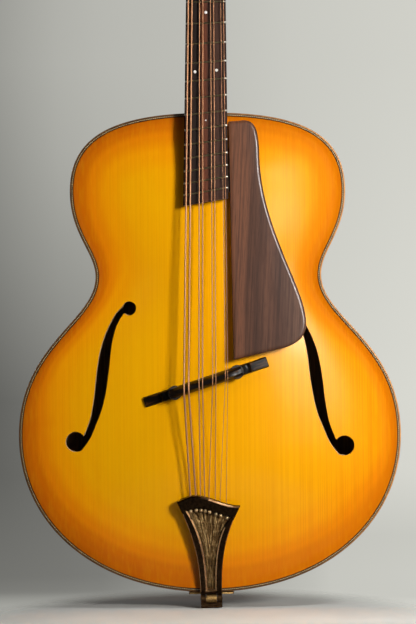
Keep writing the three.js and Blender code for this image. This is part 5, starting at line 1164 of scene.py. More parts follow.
for side, side_name in ((-1, "bass"), (1, "treble")):
    plate = closed_piece(f"tuner_strip_{side_name}", slab_rings(lambda inset: plate_outline(side, inset), [
        (PLATE_BACK, 0.35), (PLATE_BACK + 0.35, 0), (PLATE_FRONT, 0)]), [tuner_brass], HEAD_TO_WORLD)
    for step in range(4):
        x, y = side * TUNER_SIDE, TUNER_FIRST_UP + step * TUNER_SPACING
        for end in (-1, 1):
            arc = [(3.5 * math.cos(a), 2.6 * math.sin(a)) for a in np.linspace(0, -math.pi, 13)]
            lug_line = [(3.5, PLATE_BACK - WORM_DEEP + 0.5), *arc, (-3.5, PLATE_BACK - WORM_DEEP + 0.5)]
            lug = [[(x + end * out, y - WORM_OFFSET + a, WORM_DEEP + b) for a, b in lug_line]
                   for out in (7.0, 8.8)]
            carve(plate, lug, HEAD_TO_WORLD, "UNION")
        post_hole = round_rings(x, y, 3.7, [(PLATE_BACK - 1, 1), (PLATE_FRONT + 1, 1)])
        carve(plate, post_hole, HEAD_TO_WORLD)
        shaft_length = [(x - 10.5, 1), (x + 10.5, 1)]
        bore = along_x(round_rings(y - WORM_OFFSET, WORM_DEEP, SHAFT_RADIUS + 0.2, shaft_length))
        carve(plate, bore, HEAD_TO_WORLD)
    smooth(plate.data, 35)
    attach(plate, "instrument")
    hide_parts(f"tuner_plate_{side_name}")
    to_rear = HEAD_TO_WORLD @ Matrix.Rotation(math.pi, 4, "Y")
    for step in range(5):
        y = TUNER_FIRST_UP - WORM_OFFSET - 8 + step * TUNER_SPACING - (2.2 if step == 4 else 0)
        x = -side * (TUNER_SIDE + (0 if step in (0, 4) else 7))
        slotted_screw(f"plate_screw_{side_name}_{step + 1}", x, y, -PLATE_BACK + 0.1, 1.7, 0.5 + 1.1 * step,
                      to_rear)


def gear_rings(side):
    step = 2 * math.pi / GEAR_TEETH
    lean = WORM_PITCH / (2 * math.pi * (WORM_OFFSET - GEAR_PITCH_RADIUS))
    flanks = [(GEAR_ROOT, -0.5), (5.9, -0.44), (6.5, -0.36), (7.0, -0.26), (GEAR_TIP, -0.2),
              (GEAR_TIP, 0.2), (7.0, 0.26), (6.5, 0.36), (5.9, 0.44), (GEAR_ROOT, 0.5), (GEAR_ROOT, 1.0)]
    rings = []
    for z in np.linspace(GEAR_BACK, GEAR_FRONT, 7):
        turn = side * lean * (z - WORM_DEEP) / GEAR_PITCH_RADIUS
        ring = []
        for tooth in range(GEAR_TEETH):
            for radius, share in flanks:
                a = tooth * step - math.pi / 2 + share * step / 2 + turn
                ring.append((radius * math.cos(a), radius * math.sin(a), z))
        rings.append(ring)
    return rings


def worm_rings():
    """Rings of the shaft with its thread, from the inner end out to the button."""
    half = WINDING_TURNS * WORM_PITCH / 2

    def thread_radius(x, a):
        fade = min(max((half + 0.3 - abs(x)) / 0.7, 0), 1)
        apart = abs((a - 2 * math.pi * x / WORM_PITCH) % (2 * math.pi) - math.pi)
        crest = min(max((1.08 - apart) / 0.72, 0), 1)
        return WORM_ROOT + (WORM_RADIUS - 0.04 - WORM_ROOT) * crest * fade

    def ring(x, radius=None):
        radii = [(a, thread_radius(x, a) if radius is None else radius)
                 for a in (2 * math.pi * i / 24 for i in range(24))]
        return [(x, r * math.cos(a), r * math.sin(a)) for a, r in radii]

    inner_end = [(-9.8, SHAFT_RADIUS - 0.35), (-9.45, SHAFT_RADIUS), (-half - 0.6, SHAFT_RADIUS)]
    collar = SHAFT_RADIUS + 0.9
    outer_end = [(half + 0.6, SHAFT_RADIUS), (10.0, SHAFT_RADIUS), (10.2, collar), (11.4, collar),
                 (11.6, SHAFT_RADIUS), (17.0, SHAFT_RADIUS)]
    thread = [ring(x) for x in np.linspace(-half - 0.3, half + 0.3, 57)]
    return [ring(*at) for at in inner_end] + thread + [ring(*at) for at in outer_end]


button_wood = stripe_wood("button_ebony", srgb(16, 13, 12), srgb(30, 24, 20), srgb(58, 44, 34), 160, 60,
                          Roughness=0.22, Coat_Weight=0.3, Coat_Roughness=0.1)
FERRULE = [(3.3, 1.2), (3.3, 2.62), (4.9, 2.62), (5.2, 2.45), (5.3, 2.2), (3.7, 1.2)]
for i, string_name in enumerate(STRING_NAMES):
    side, x, y = tuner_place(i)
    on_post = HEAD_TO_WORLD @ Matrix.Translation((x, y, 0))
    post_rings = round_rings(0, 0, POST_RADIUS, [
        (GEAR_BACK - 1.4, 0.8), (GEAR_BACK - 1.0, 0.93), (11.6, 0.93), (12.1, 0.98), (12.4, 1.0), (14.3, 1.0),
        (14.8, 0.9), (POST_FRONT, 0.7)], 28)
    post = closed_piece(f"post_{string_name}", post_rings, [tuner_brass], on_post)
    carve(post, gear_rings(side), on_post, "UNION")
    bore = along_x(round_rings(0, winding_top(i), STRING_DIAMETERS[i] / 2 + 0.25, [(-6, 1), (6, 1)], 20))
    carve(post, bore, on_post)
    smooth(post.data, 32)
    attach(post, f"post_{string_name}")
    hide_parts(f"tuner_post_{string_name}")

    sections = [[(r * math.cos(a), r * math.sin(a), z) for r, z in FERRULE]
                for a in np.linspace(0, 2 * math.pi, 32, endpoint=False)]
    ferrule = closed_piece(f"ferrule_{string_name}", sections, [tuner_brass], on_post, closed=True)
    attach(ferrule, "instrument")

    on_worm = on_post @ Matrix.Translation((0, -WORM_OFFSET, WORM_DEEP)) @ Matrix.Diagonal((side, 1, 1, 1))
    worm = closed_piece(f"worm_{string_name}", worm_rings(), [worm_steel], on_worm)
    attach(worm, f"worm_{string_name}")
    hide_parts(f"tuner_worm_{string_name}")
    shell = []
    for s in np.linspace(0, 1, 26):
        t = math.pi * s
        reach = 16.0 + 8.5 * (1 - math.cos(t))
        wide = (math.sin(t) ** 0.62 if 0 < s < 1 else 0.02) * (0.86 + 0.14 * s)
        shell.append([(reach, 7.5 * wide * math.cos(a), 4.5 * wide * math.sin(a))
                      for a in np.linspace(0, 2 * math.pi, 32, endpoint=False)])
    button = closed_piece(f"button_{string_name}", shell, [button_wood], on_worm, 60)
    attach(button, f"worm_{string_name}")


# The bridge is ebony: a base whose feet are fitted to the arch, and a loose saddle on two steel studs
# whose knurled wheels set its height. It slants with the fan of the frets.
BRIDGE_SLANT = 0.312
BRIDGE_X = -3.7
BRIDGE_TO_WORLD = (BODY_TO_WORLD @ Matrix.Translation((BRIDGE_X, BRIDGE_UP, 0))
                   @ Matrix.Rotation(BRIDGE_SLANT, 4, "Z"))
BRIDGE_HALF, BASE_HALF_WIDTH = 69.0, 5.75
STUD_OUT = 34.5


def strings_front(along):
    """How far forward the strings' undersides are where they cross the saddle."""
    up = BRIDGE_UP + along * math.sin(BRIDGE_SLANT) - BODY_TOP
    return 54.9 + (BOARD_THICKNESS + 5.2) / math.cos(0.0612) - up * math.tan(0.0612)


def top_under(along, across=0.0):
    x = BRIDGE_X + along * math.cos(BRIDGE_SLANT) - across * math.sin(BRIDGE_SLANT)
    y = BRIDGE_UP + along * math.sin(BRIDGE_SLANT) + across * math.cos(BRIDGE_SLANT)
    return outer_face(x, y)


BASE_FRONT = top_under(0) + 9.5
WHEEL_BACK = BASE_FRONT + 2.2
SADDLE_BACK = WHEEL_BACK + 3.5

bridge_ebony = stripe_wood("bridge_ebony", srgb(11, 7, 5), srgb(24, 15, 9), srgb(104, 66, 28), 300, 9,
                           BRIDGE_SLANT - math.pi / 2, stretch=(0.42, 0.56, 0.72), Roughness=0.3,
                           Specular_IOR_Level=0.15)
base_stations = [-69, -68.4, -67, -62, -56, -52.5, -50.8, -50.2, -49, -46.6, -44.5, -36, -24, -12,
                 0, 12, 24, 36, 44.5, 46.6, 49, 50.2, 50.8, 52.5, 56, 62, 67, 68.4, 69]


def base_front(along):
    out = abs(along)
    if out <= 44.5:
        return BASE_FRONT
    low = top_under(along) + 3.4 + 1.0 * min(max((BRIDGE_HALF - out) / 18, 0), 1)
    if out >= 50.8:
        return low - (0.7 if out > 68.8 else 0)
    fall = (out - 44.5) / 6.3
    return BASE_FRONT + (low - BASE_FRONT) * (1 - math.sqrt(1 - fall ** 2))


rings = []
for along in base_stations:
    front, narrow = base_front(along), 4.75 - (0.6 if abs(along) > 68.8 else 0)
    wide = BASE_HALF_WIDTH - (0.7 if abs(along) > 68.8 else 0.2 if abs(along) > 68 else 0)
    foot = [(along, across, top_under(along, across) + 0.12) for across in np.linspace(-wide, wide, 5)]
    shoulder = [(narrow + 0.3, front - 1.1), (narrow, front - 0.45), (narrow - 0.55, front)]
    rings.append(foot + [(along, across, z) for across, z in shoulder]
                 + [(along, -across, z) for across, z in reversed(shoulder)])
base = closed_piece("bridge_foot", rings, [bridge_ebony], BRIDGE_TO_WORLD)
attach(base, "instrument")
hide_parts("bridge_base")

SADDLE_SPREAD = 46.2
SADDLE_SHARES = [-0.5, -0.394, -0.158, -0.076, 0.156, 0.229, 0.446, 0.5]
crossings = [share * SADDLE_SPREAD / math.cos(BRIDGE_SLANT) for share in SADDLE_SHARES]
groove_places = [
    c + side * (width / 2 + reach) for c, width in zip(crossings, STRING_DIAMETERS)
    for side, reach in ((-1, 0.5), (-1, 0.05), (0, 0), (1, 0.05), (1, 0.5))]
end_places = [side * place for place in (29.0, 34.0, 38.5, 39.4, 40.0) for side in (-1, 1)]
places = sorted({*end_places, *np.linspace(-25, 25, 26), *groove_places})


def saddle_front(along):
    front = strings_front(along) + 0.35
    if abs(along) > 26:
        front -= 4.0 * (1 - math.cos(math.pi / 2 * min((abs(along) - 26) / 13, 1)))
    for c, width in zip(crossings, STRING_DIAMETERS):
        deep = 1 - max(abs(along - c) - width / 2 - 0.05, 0) / 0.45
        if deep > 0:
            front = min(front, strings_front(along) + 0.35 - 0.39 * deep)
    return front


rings = []
for along in places:
    end = 1 if abs(along) > 39.8 else 0
    front, sway = saddle_front(along), 0.5 * math.sin(along / 6.2)
    middle = SADDLE_BACK + 0.55 * (strings_front(along) - SADDLE_BACK)
    wide, thin = 5.0 - 0.6 * end, 2.3
    rings.append([
        (along, -wide + 0.4, SADDLE_BACK), (along, wide - 0.4, SADDLE_BACK), (along, wide, SADDLE_BACK + 0.4),
        (along, wide, min(middle, front - 1.2)), (along, thin + 0.5, front - 0.7),
        (along, thin - 0.2 + sway, front), (along, -thin + 0.2 + sway, front),
        (along, -thin - 0.5, front - 0.7), (along, -wide, min(middle, front - 1.2)),
        (along, -wide, SADDLE_BACK + 0.4)])
saddle = closed_piece("saddle_bar", rings, [bridge_ebony], BRIDGE_TO_WORLD)
for end in (-1, 1):
    bore = round_rings(end * STUD_OUT, 0, 2.3, [(SADDLE_BACK - 2, 1), (SADDLE_BACK + 6.0, 1)])
    carve(saddle, bore, BRIDGE_TO_WORLD)
smooth(saddle.data, 32)
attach(saddle, "bridge_saddle")
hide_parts("bridge_saddle")

wheel_steel = metal("wheel_steel", srgb(66, 64, 64), srgb(128, 124, 120), 0.34)
for side, side_name in ((-1, "bass"), (1, "treble")):
    stud_rings = round_rings(side * STUD_OUT, 0, 2.0, [
        (BASE_FRONT - 6, 0.9), (BASE_FRONT - 5.8, 1), (SADDLE_BACK + 3.9, 1), (SADDLE_BACK + 4.2, 0.85)])
    stud = closed_piece(f"stud_{side_name}", stud_rings, [wheel_steel], BRIDGE_TO_WORLD)
    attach(stud, "instrument")
    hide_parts(f"bridge_post_{side_name}")
    sections = []
    for k in range(144):
        a = 2 * math.pi * k / 144
        rim = 7.65 - (0.32 if k % 3 == 0 else 0.0)
        sections.append([(r * math.cos(a), r * math.sin(a), z) for r, z in (
            (2.3, 0), (rim - 0.8, 0), (rim, 0.6), (rim, 2.6), (rim - 0.8, 3.2), (4.2, 3.2), (4.0, 2.9),
            (2.3, 2.9))])
    on_stud = BRIDGE_TO_WORLD @ Matrix.Translation((side * STUD_OUT, 0, WHEEL_BACK))
    wheel = closed_piece(f"wheel_{side_name}", sections, [wheel_steel], on_stud, closed=True)
    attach(wheel, f"wheel_{side_name}")
    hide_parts(f"thumbwheel_{side_name}")


# The tailpiece is one bronze casting with dark patina, polished bright on its bevels: a hood that holds
# the ball ends, a sunk panel with a bark-like relief, and a foot with a window for its hinge.
HINGE_UP, HINGE_FRONT = 10.5, 48.2
TAIL_RISE = math.atan2(strings_front(0) + STRING_DIAMETERS[0] / 2 - HINGE_FRONT, BRIDGE_UP - HINGE_UP)
TAIL_TO_WORLD = (BODY_TO_WORLD @ Matrix.Translation((0, HINGE_UP, HINGE_FRONT))
                 @ Matrix.Rotation(0.022, 4, "Z") @ Matrix.Rotation(TAIL_RISE, 4, "X"))
TAIL_LENGTH, TAIL_WING, TAIL_FOOT = 112.0, 33.4, 11.4
HOOD_FRONT, TAIL_FRONT, TAIL_FLOOR, TAIL_BACK = 4.6, 1.4, -2.8, -5.0
PANEL_LOW = 8.0


def hood_edge(x):
    share = min(max(x, -28), 28) / 20
    return 97.22 + share * (-5.88 + share * (-3.17 + 1.68 * share))


def inset_line(line, inset):
    """A closed anticlockwise line moved inwards."""
    line = np.asarray(line, float)
    before, after = line - np.roll(line, 1, axis=0), np.roll(line, -1, axis=0) - line
    before /= np.linalg.norm(before, axis=1, keepdims=True)
    after /= np.linalg.norm(after, axis=1, keepdims=True)
    inward = np.stack([-before[:, 1] - after[:, 1], before[:, 0] + after[:, 0]], axis=1)
    return line + inset * inward / (1 + np.sum(before * after, axis=1, keepdims=True))


def tail_outline(inset=0.0):
    low, flare = (0.43 * TAIL_LENGTH, 0.65 * TAIL_LENGTH), 0.57 * TAIL_WING
    tips = [(-TAIL_WING, 0.948 * TAIL_LENGTH), (-0.36 * TAIL_WING, TAIL_LENGTH),
            (0.62 * TAIL_WING, 0.905 * TAIL_LENGTH), (TAIL_WING, 0.889 * TAIL_LENGTH)]
    right = bowed((TAIL_FOOT, 0.07 * TAIL_LENGTH), (TAIL_FOOT, low[0]), (flare, low[1]), tips[3], 22)
    left = bowed((-TAIL_FOOT, 0.07 * TAIL_LENGTH), (-TAIL_FOOT, low[0]), (-flare, low[1]), tips[0], 22)
    crest = np.array(through(tips[::-1], 8))[1:-1]
    foot = [(-TAIL_FOOT, -9.2), (-TAIL_FOOT + 0.8, -10), (TAIL_FOOT - 0.8, -10), (TAIL_FOOT, -9.2)]
    return inset_line(np.concatenate([foot, right, crest, left[::-1]]), inset)


def hood_outline(inset=0.0):
    """The tailpiece's outline above the hood's edge, closed by that edge."""
    line = tail_outline(inset)
    over = [y - hood_edge(x) for x, y in tail_outline()]
    inside = [k for k, height in enumerate(over) if height > 0]
    ends = [line[a] + (line[b] - line[a]) * over[a] / (over[a] - over[b])
            for a, b in ((inside[-1], inside[-1] + 1), (inside[0], inside[0] - 1))]
    edge = [(x, hood_edge(x)) for x in np.linspace(ends[0][0], ends[1][0], 30)]
    return [*line[inside[0]:inside[-1] + 1], *edge]


def panel_side(t, side, inset=0.0):
    """A point on the panel's side, from its low end at 0 to the hood's edge at 1."""
    half, wide = TAIL_FOOT - 5.6, TAIL_WING - 8.5
    pulls = [(half, PANEL_LOW), (half, 0.43 * TAIL_LENGTH), (half + 0.22 * wide, 0.65 * TAIL_LENGTH),
             (wide, hood_edge(side * wide))]
    weights = [(1 - t) ** 3, 3 * (1 - t) ** 2 * t, 3 * (1 - t) * t ** 2, t ** 3]
    out, up = (sum(weight * pull[k] for weight, pull in zip(weights, pulls)) for k in (0, 1))
    sunk = inset * (0.85 - 0.15 * side)
    return side * (out - sunk), up + inset * (1 - t) ** 4 + 0.2 * side * sunk * t ** 6


def panel_outline(inset=0.0):
    right = [panel_side(t, 1, inset) for t in np.linspace(0, 1, 24)]
    left = [panel_side(t, -1, inset) for t in np.linspace(0, 1, 24)]
    return right + left[::-1]


dark_bronze = metal("dark_bronze", srgb(34, 24, 16), srgb(66, 48, 32), 0.3, 40)
bright_bronze = metal("bright_bronze", srgb(176, 126, 80), srgb(230, 182, 130), 0.4, 40)
# A lighter bronze for the foot below the panel and for its lip.
foot_bronze = metal("foot_bronze", srgb(74, 54, 34), srgb(116, 88, 58), 0.35, 40)
side_bronze = metal("side_bronze", srgb(176, 128, 84), srgb(236, 188, 136), 0.45, 40, 0.35)
# A pale bronze for a thin line along the right half of the hood's crest: painted highlight.
crest_glint_bronze = metal("crest_glint_bronze", srgb(244, 190, 134), srgb(255, 220, 170), 0.4, 40, 0.1)
# A dimmer bright bronze: on sloping faces turned to the right in the panel's lower part, and at the ends of
# the crest, where it fades the painted highlight.
rubbed_and_glint_bronze = metal("rubbed_and_glint_bronze", srgb(122, 88, 58), srgb(172, 130, 92), 0.4, 40)
tail_rings = slab_rings(tail_outline, [
    (TAIL_BACK, 0.6), (TAIL_BACK + 0.6, 0), (TAIL_FRONT - 0.8, 0), (TAIL_FRONT, 0.8)])
tail = closed_piece("tailpiece_cast", tail_rings, [dark_bronze, bright_bronze], TAIL_TO_WORLD)
panel = slab_rings(panel_outline, [(TAIL_FLOOR, 2.0), (0.4, 1.9), (TAIL_FRONT, 0.0), (HOOD_FRONT + 1, -0.4)])
carve(tail, panel, TAIL_TO_WORLD)
hood = slab_rings(hood_outline, [
    (TAIL_BACK + 1.5, 0.02), (HOOD_FRONT - 1.4, 0.02), (HOOD_FRONT - 0.7, 0.6), (HOOD_FRONT, 1.5)])
carve(tail, hood, TAIL_TO_WORLD, "UNION")
barrel = along_x(round_rings(0, 0, 4.4, [(-11.4, 0.86), (-10.8, 1), (10.8, 1), (11.4, 0.86)], 36))
carve(tail, barrel, TAIL_TO_WORLD, "UNION")
carve(tail, box_rings(-6, 6, -5.2, 5.2, -9, 9), TAIL_TO_WORLD)
carve(tail, along_x(round_rings(0, 0, 2.2, [(-14, 1), (14, 1)], 24)), TAIL_TO_WORLD)
TAIL_X = [share * 38.0 for share in (-0.5, -0.349, -0.214, -0.098, 0.023, 0.197, 0.33, 0.5)]
for x in TAIL_X:
    through_hood = [[(a, hood_edge(x) + up, b) for a, b, _ in ring]
                    for ring, up in zip(round_rings(x, 0, 1.3, [(0, 1)] * 2, 20), (-12, 40))]
    carve(tail, through_hood, TAIL_TO_WORLD)
smooth(tail.data, 28)
to_tail = TAIL_TO_WORLD.inverted()
for face in tail.data.polygons:
    spot, way = to_tail @ face.center, (to_tail.to_3x3() @ face.normal).normalized()
    on_panel = PANEL_LOW < spot.y < hood_edge(spot.x) + 0.5 and abs(spot.x) < 0.8 * TAIL_WING
    on_foot = spot.y < -9
    on_hood_edge = spot.y > 90 and spot.x > 1 and spot.z > HOOD_FRONT - 1.7
    on_crest = on_hood_edge and way.y > 0.22 and 0.2 < way.z < 0.97
    raised = (on_panel or on_foot) and 0.05 < spot.z < HOOD_FRONT
    sloping = raised and 0.25 < way.z < 0.97 and -0.7 < way.y < 0.3
    face.material_index = int(sloping)
    # The middle of the crest's right half takes the painted highlight; its ends take the dimmer bronze, which
    # fades it.
    if on_crest:
        face.material_index = 5 if spot.z < HOOD_FRONT - 0.7 and 8 < spot.x < 25 else 3
    if sloping and way.x > 0 and 0 < spot.y < 62:
        face.material_index = 3
    elif sloping and way.x < -0.1 and spot.y > 0:
        face.material_index = 4
    if face.material_index == 0 and spot.y < 14:
        face.material_index = 2
for finish in (foot_bronze, rubbed_and_glint_bronze, side_bronze, crest_glint_bronze):
    tail.data.materials.append(finish)
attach(tail, "tailpiece")
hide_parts("tailpiece")

lip_rings = round_rings(-8.8, TAIL_FRONT - 0.1, 1.0, [(-10.6, 0.6), (-10.3, 1), (10.3, 1), (10.6, 0.6)])
lip = closed_piece("tailpiece_lip", along_x(lip_rings), [foot_bronze], TAIL_TO_WORLD)
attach(lip, "tailpiece")

bark_bronze, n, shader = new_finish("bark_bronze", Metallic=0.9, Roughness=0.42)
ridge = n.attribute("ridge")
fine = n.noise(n.place(), 1300.0, 3.0, 0.6, 0.5)
bark = n.math("ADD", ridge, n.math("MULTIPLY", fine, 0.35))
n.put(shader.inputs["Base Color"], n.ramp(bark, [
    (0.25, srgb(36, 25, 13)), (0.55, srgb(100, 74, 42)), (0.85, srgb(156, 122, 76)),
    (1.1, srgb(206, 172, 116))]))
relief(n, shader, fine, 0.4, 0.0003)


lattice = np.random.default_rng(11).random((4, 64, 64))


def uneven(layer, x, y):
    """A smooth random height over the plane, from 0 to 1."""
    i, j = math.floor(x), math.floor(y)
    u, v = x - i, y - j
    u, v = u * u * (3 - 2 * u), v * v * (3 - 2 * v)
    grid = lattice[layer]
    (a, b), (c, d) = ((grid[(i + p) % 64, (j + q) % 64] for q in (0, 1)) for p in (0, 1))
    return (a * (1 - v) + b * v) * (1 - u) + (c * (1 - v) + d * v) * u


def bark_height(x, y):
    """Ridges that run up the panel, wander, split and end, with short cracks across them."""
    sway = 1.8 * uneven(0, x / 7, y / 14) + 0.7 * uneven(1, x / 3, y / 6)
    ridge = 1 - abs(2 * uneven(2, (x + sway) / 1.3, y / 13) - 1)
    small = 1 - abs(2 * uneven(3, (x + 1.2 * sway) / 0.75, y / 5) - 1)
    crack = max(uneven(1, x / 2.2 + 9, y / 1.4) - 0.66, 0)
    return 0.12 + 0.62 * ridge ** 1.4 + 0.26 * small - 0.6 * crack


rows, columns = 240, 80
points, values = [], []
for r in range(rows):
    share = r / (rows - 1)
    left, right = panel_side(share, -1, 1.5), panel_side(share, 1, 1.5)
    for c in range(columns):
        across = c / (columns - 1)
        x, y = (left[k] + across * (right[k] - left[k]) for k in (0, 1))
        value = bark_height((across - 0.5) * 34, y)
        edge = min(min(across, 1 - across) * 12, min(share, 1 - share) * 30, 1)
        points.append((x, y, TAIL_FLOOR + 0.05 + 0.9 * value * edge))
        values.append(value)
count = rows * columns
points += [(x, y, TAIL_FLOOR - 0.3) for x, y, _ in points]
faces = []
for r in range(rows - 1):
    for c in range(columns - 1):
        k = r * columns + c
        faces += [(k, k + 1, k + columns + 1, k + columns),
                  (count + k, count + k + columns, count + k + columns + 1, count + k + 1)]
edge_walk = [
    *range(columns),
    *(r * columns + columns - 1 for r in range(1, rows)),
    *((rows - 1) * columns + c for c in range(columns - 2, -1, -1)),
    *(r * columns for r in range(rows - 2, 0, -1)),
]
faces += [(a, count + a, count + b, b) for a, b in zip(edge_walk, edge_walk[1:] + edge_walk[:1])]
bark_panel = new_piece("tailpiece_bark", points, faces, [bark_bronze], None, 60, TAIL_TO_WORLD)
face_outward(bark_panel)
note(bark_panel, "ridge", values + values)
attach(bark_panel, "tailpiece")

hinge_brass = metal("hinge_brass", srgb(176, 134, 74), srgb(240, 198, 128), 0.38)
pin_rings = round_rings(0, 0, 1.8, [(-11.7, 0.7), (-11.4, 1), (-6, 1), (6, 1), (11.4, 1), (11.7, 0.7)])
pin = closed_piece("hinge_pin", along_x(pin_rings), [hinge_brass, dark_bronze], TAIL_TO_WORLD)
for face in pin.data.polygons:
    face.material_index = int(abs((to_tail @ face.center).x) > 6)
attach(pin, "instrument")
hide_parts("tailpiece_hinge_pin")


# A brass bracket under the tail carries the hinge: its plate lies on the ribs under the end button's
# flange, and a tongue curls forward round the pin. The turned ebony end button goes through both.
def bracket_outline(inset):
    """The plate seen from above, with its back edge up and four rounded corners."""
    radius = 3.0 - inset
    corners = ((21, -37, -90), (21, 13, 0), (-21, 13, 90), (-21, -37, 180))
    turned = [(x, y, math.radians(start + a)) for x, y, start in corners for a in (0, 30, 60, 90)]
    return [(x + radius * math.cos(a), y + radius * math.sin(a)) for x, y, a in turned]


LAID_UNDER = BODY_TO_WORLD @ Matrix.Rotation(-math.pi / 2, 4, "X")
bracket_rings = slab_rings(bracket_outline, [(14.7, 0.3), (15.0, 0), (16.4, 0), (16.7, 0.3)])
bracket = closed_piece("bracket_plate", bracket_rings, [hinge_brass], LAID_UNDER)
tongue = [(36, 16.7), (36, 14.7), (41, 12.6), (44.4, 8.6), (47.2, 7.5), (HINGE_FRONT, HINGE_UP),
          (46.8, 14.4), (42.5, 16.0)]
carve(bracket, [[(x, up, front) for front, up in tongue] for x in (-5.7, 5.7)], BODY_TO_WORLD, "UNION")
knuckle = round_rings(HINGE_UP, HINGE_FRONT, 4.4, [(-5.7, 0.93), (-5.3, 1), (5.3, 1), (5.7, 0.93)], 36)
carve(bracket, along_x(knuckle), BODY_TO_WORLD, "UNION")
carve(bracket, along_x(round_rings(HINGE_UP, HINGE_FRONT, 1.95, [(-8, 1), (8, 1)], 24)), BODY_TO_WORLD)
carve(bracket, round_rings(0, 0, 3.8, [(10, 1), (20, 1)], 24), LAID_UNDER)
smooth(bracket.data, 32)
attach(bracket, "instrument")
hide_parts("tailpiece_bracket")

for i, (x, y) in enumerate(((-16, 6), (16, 6), (-16, -28), (16, -28))):
    slotted_screw(f"bracket_screw_{i + 1}", x, -y, -14.8, 2.2, 0.4 + 1.3 * i,
                  LAID_UNDER @ Matrix.Rotation(math.pi, 4, "X"))

END_BUTTON = [
    (0.0, 0.02), (0.0, 4.2), (0.25, 5.6), (0.9, 6.6), (1.8, 7.0), (2.9, 6.9), (4.4, 5.8), (6.6, 4.6),
    (8.8, 4.4), (10.6, 5.0), (12.2, 6.2), (13.0, 7.0), (14.1, 7.0), (14.4, 6.7), (14.4, 3.5), (39.6, 3.5),
    (41.0, 0.1),
]
end_button = closed_piece("end_pin", round_rings(0, 0, 1, END_BUTTON, 40), [ebony], LAID_UNDER)
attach(end_button, "instrument")
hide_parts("end_button")


# The finger rest is a rosewood plate that floats beside the strings at their height. Its edge is cut
# to a bevel, and an ebony block carries it on the side of the board.
REST_FRONT, REST_BACK = 5.2, 2.2
REST_ROUND, REST_ROUND_WIDTH = 2.5, 4.0


def rest_outline(inset=0.0):
    top_up, low_up, wide = -10.6, -263.3, 106.0
    inner = board_half(top_up) + 1

    def place(share):
        return np.array((inner + share[0] * (wide - inner), top_up + share[1] * (low_up - top_up)))

    foot = bowed(place((0.66, 0.953)), place((0.88, 0.94)), place((1, 0.905)), place((1, 0.845)), 16)
    side = bowed(foot[-1], place((1, 0.7)), place((0.42, 0.45)), place((0.4, 0.14)), 26)
    shoulder = bowed(side[-1], place((0.395, 0.02)), place((0.33, -0.004)), place((0.2, -0.006)), 12)
    line = np.concatenate([[place((0.065, 1))], foot, side[1:], shoulder[1:], [place((0, 0))]])
    return inset_line(line, inset)


rest_wood, n, shader = new_finish("rest_rosewood", Roughness=0.42, Specular_IOR_Level=0.25, Coat_Weight=0.3,
                                  Coat_Roughness=0.2)
turned = n.place(turn=(0, -0.05, 0))
spot = n.axes(turned)
wander = n.noise(n.stretched(turned, (16, 16, 6)), 1.0, 2.0, 0.5)
figure = n.ramp(n.span(n.math("ADD", spot[0], n.span(wander, 0.3, 0.7, -0.004, 0.004)), 0.0, 0.1), [
    (0.14, srgb(120, 76, 53)), (0.26, srgb(100, 64, 46)), (0.36, srgb(76, 49, 37)), (0.46, srgb(100, 66, 50)),
    (0.6, srgb(84, 56, 44)), (0.75, srgb(102, 72, 57)), (0.95, srgb(88, 61, 49))])
streak = n.noise(n.stretched(turned, (360, 60, 4)), 1.0, 3.0, 0.65, 0.3)
vessels = n.noise(n.stretched(turned, (900, 900, 16)), 1.0, 2.0, 0.6)
figure = n.mix(n.span(streak, 0.44, 0.66, 0.0, 0.6), figure, srgb(48, 30, 23))
n.put(shader.inputs["Base Color"], n.mix(n.span(vessels, 0.45, 0.7, 0.0, 0.35), figure, srgb(44, 27, 21)))
relief(n, shader, vessels, 0.1, 0.0002)
rounding = [(REST_FRONT - REST_ROUND * (1 - math.sin(a)), REST_ROUND_WIDTH * (1 - math.cos(a)))
            for a in np.radians(np.linspace(0, 90, 9))]
rings = slab_rings(rest_outline, [(REST_BACK, 0.4), *rounding])
rest = closed_piece("rest_plate", rings, [rest_wood], NECK_TO_WORLD, 50)
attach(rest, "instrument")
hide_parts("finger_rest")
dress(["finger_rest_block"], ebony)


# The eight strings are four pairs, phosphor-bronze wound on steel. Each has a brass ball in the
# tailpiece, bends over saddle and nut, and is wound on its post, with its end through the post's hole.
HOOD_RUN = 0.152 * TAIL_LENGTH
STRING_STEPS = 12
WRAP_TURNS_PER_MM = 2.2
BALL = [(-1.8, 0.4), (-1.6, 0.66), (-1.2, 0.87), (-0.6, 1), (0.6, 1), (1.2, 0.87), (1.6, 0.66), (1.8, 0.4)]

string_bronze, n, shader = new_finish("string_bronze", Metallic=0.6, Roughness=0.45)
# Each turn of the winding is painted lighter on its crown and darker towards the grooves between turns:
# painted light and shade, over the relief of the same pattern.
turns = n.math("FRACT", n.math("MULTIPLY", n.attribute("along"), WRAP_TURNS_PER_MM))
wrap = n.levels(turns, [(0.0, 0.0), (0.5, 1.0), (1.0, 0.0)])
n.put(shader.inputs["Base Color"], n.mix(wrap, srgb(162, 106, 70), srgb(224, 168, 124)))
relief(n, shader, wrap, 0.3, 0.0001)


def wire(name, route, radius, to_world):
    """A round wire along a route of points in millimetres."""
    route = np.array(route, float)
    ways = np.diff(route, axis=0)
    ways /= np.linalg.norm(ways, axis=1, keepdims=True)
    side = np.cross(ways[0], (0.3, 0.5, 0.81))
    rings = []
    for k, point in enumerate(route):
        way = ways[max(k - 1, 0)] + ways[min(k, len(ways) - 1)]
        way = way / np.linalg.norm(way)
        side = side - way * np.dot(side, way)
        side /= np.linalg.norm(side)
        up = np.cross(way, side)
        mitre = 1 / max(np.dot(way, ways[min(k, len(ways) - 1)]), 0.6)
        up *= 1 if mitre < 1.02 else mitre
        rings.append([point + radius * (side * math.cos(a) + up * math.sin(a))
                      for a in np.linspace(0, 2 * math.pi, STRING_STEPS, endpoint=False)])
    piece = new_piece(name, *skin(rings), [string_bronze], None, 60, to_world)
    face_outward(piece)
    note(piece, "along", np.repeat(length_along(route), STRING_STEPS))
    return piece


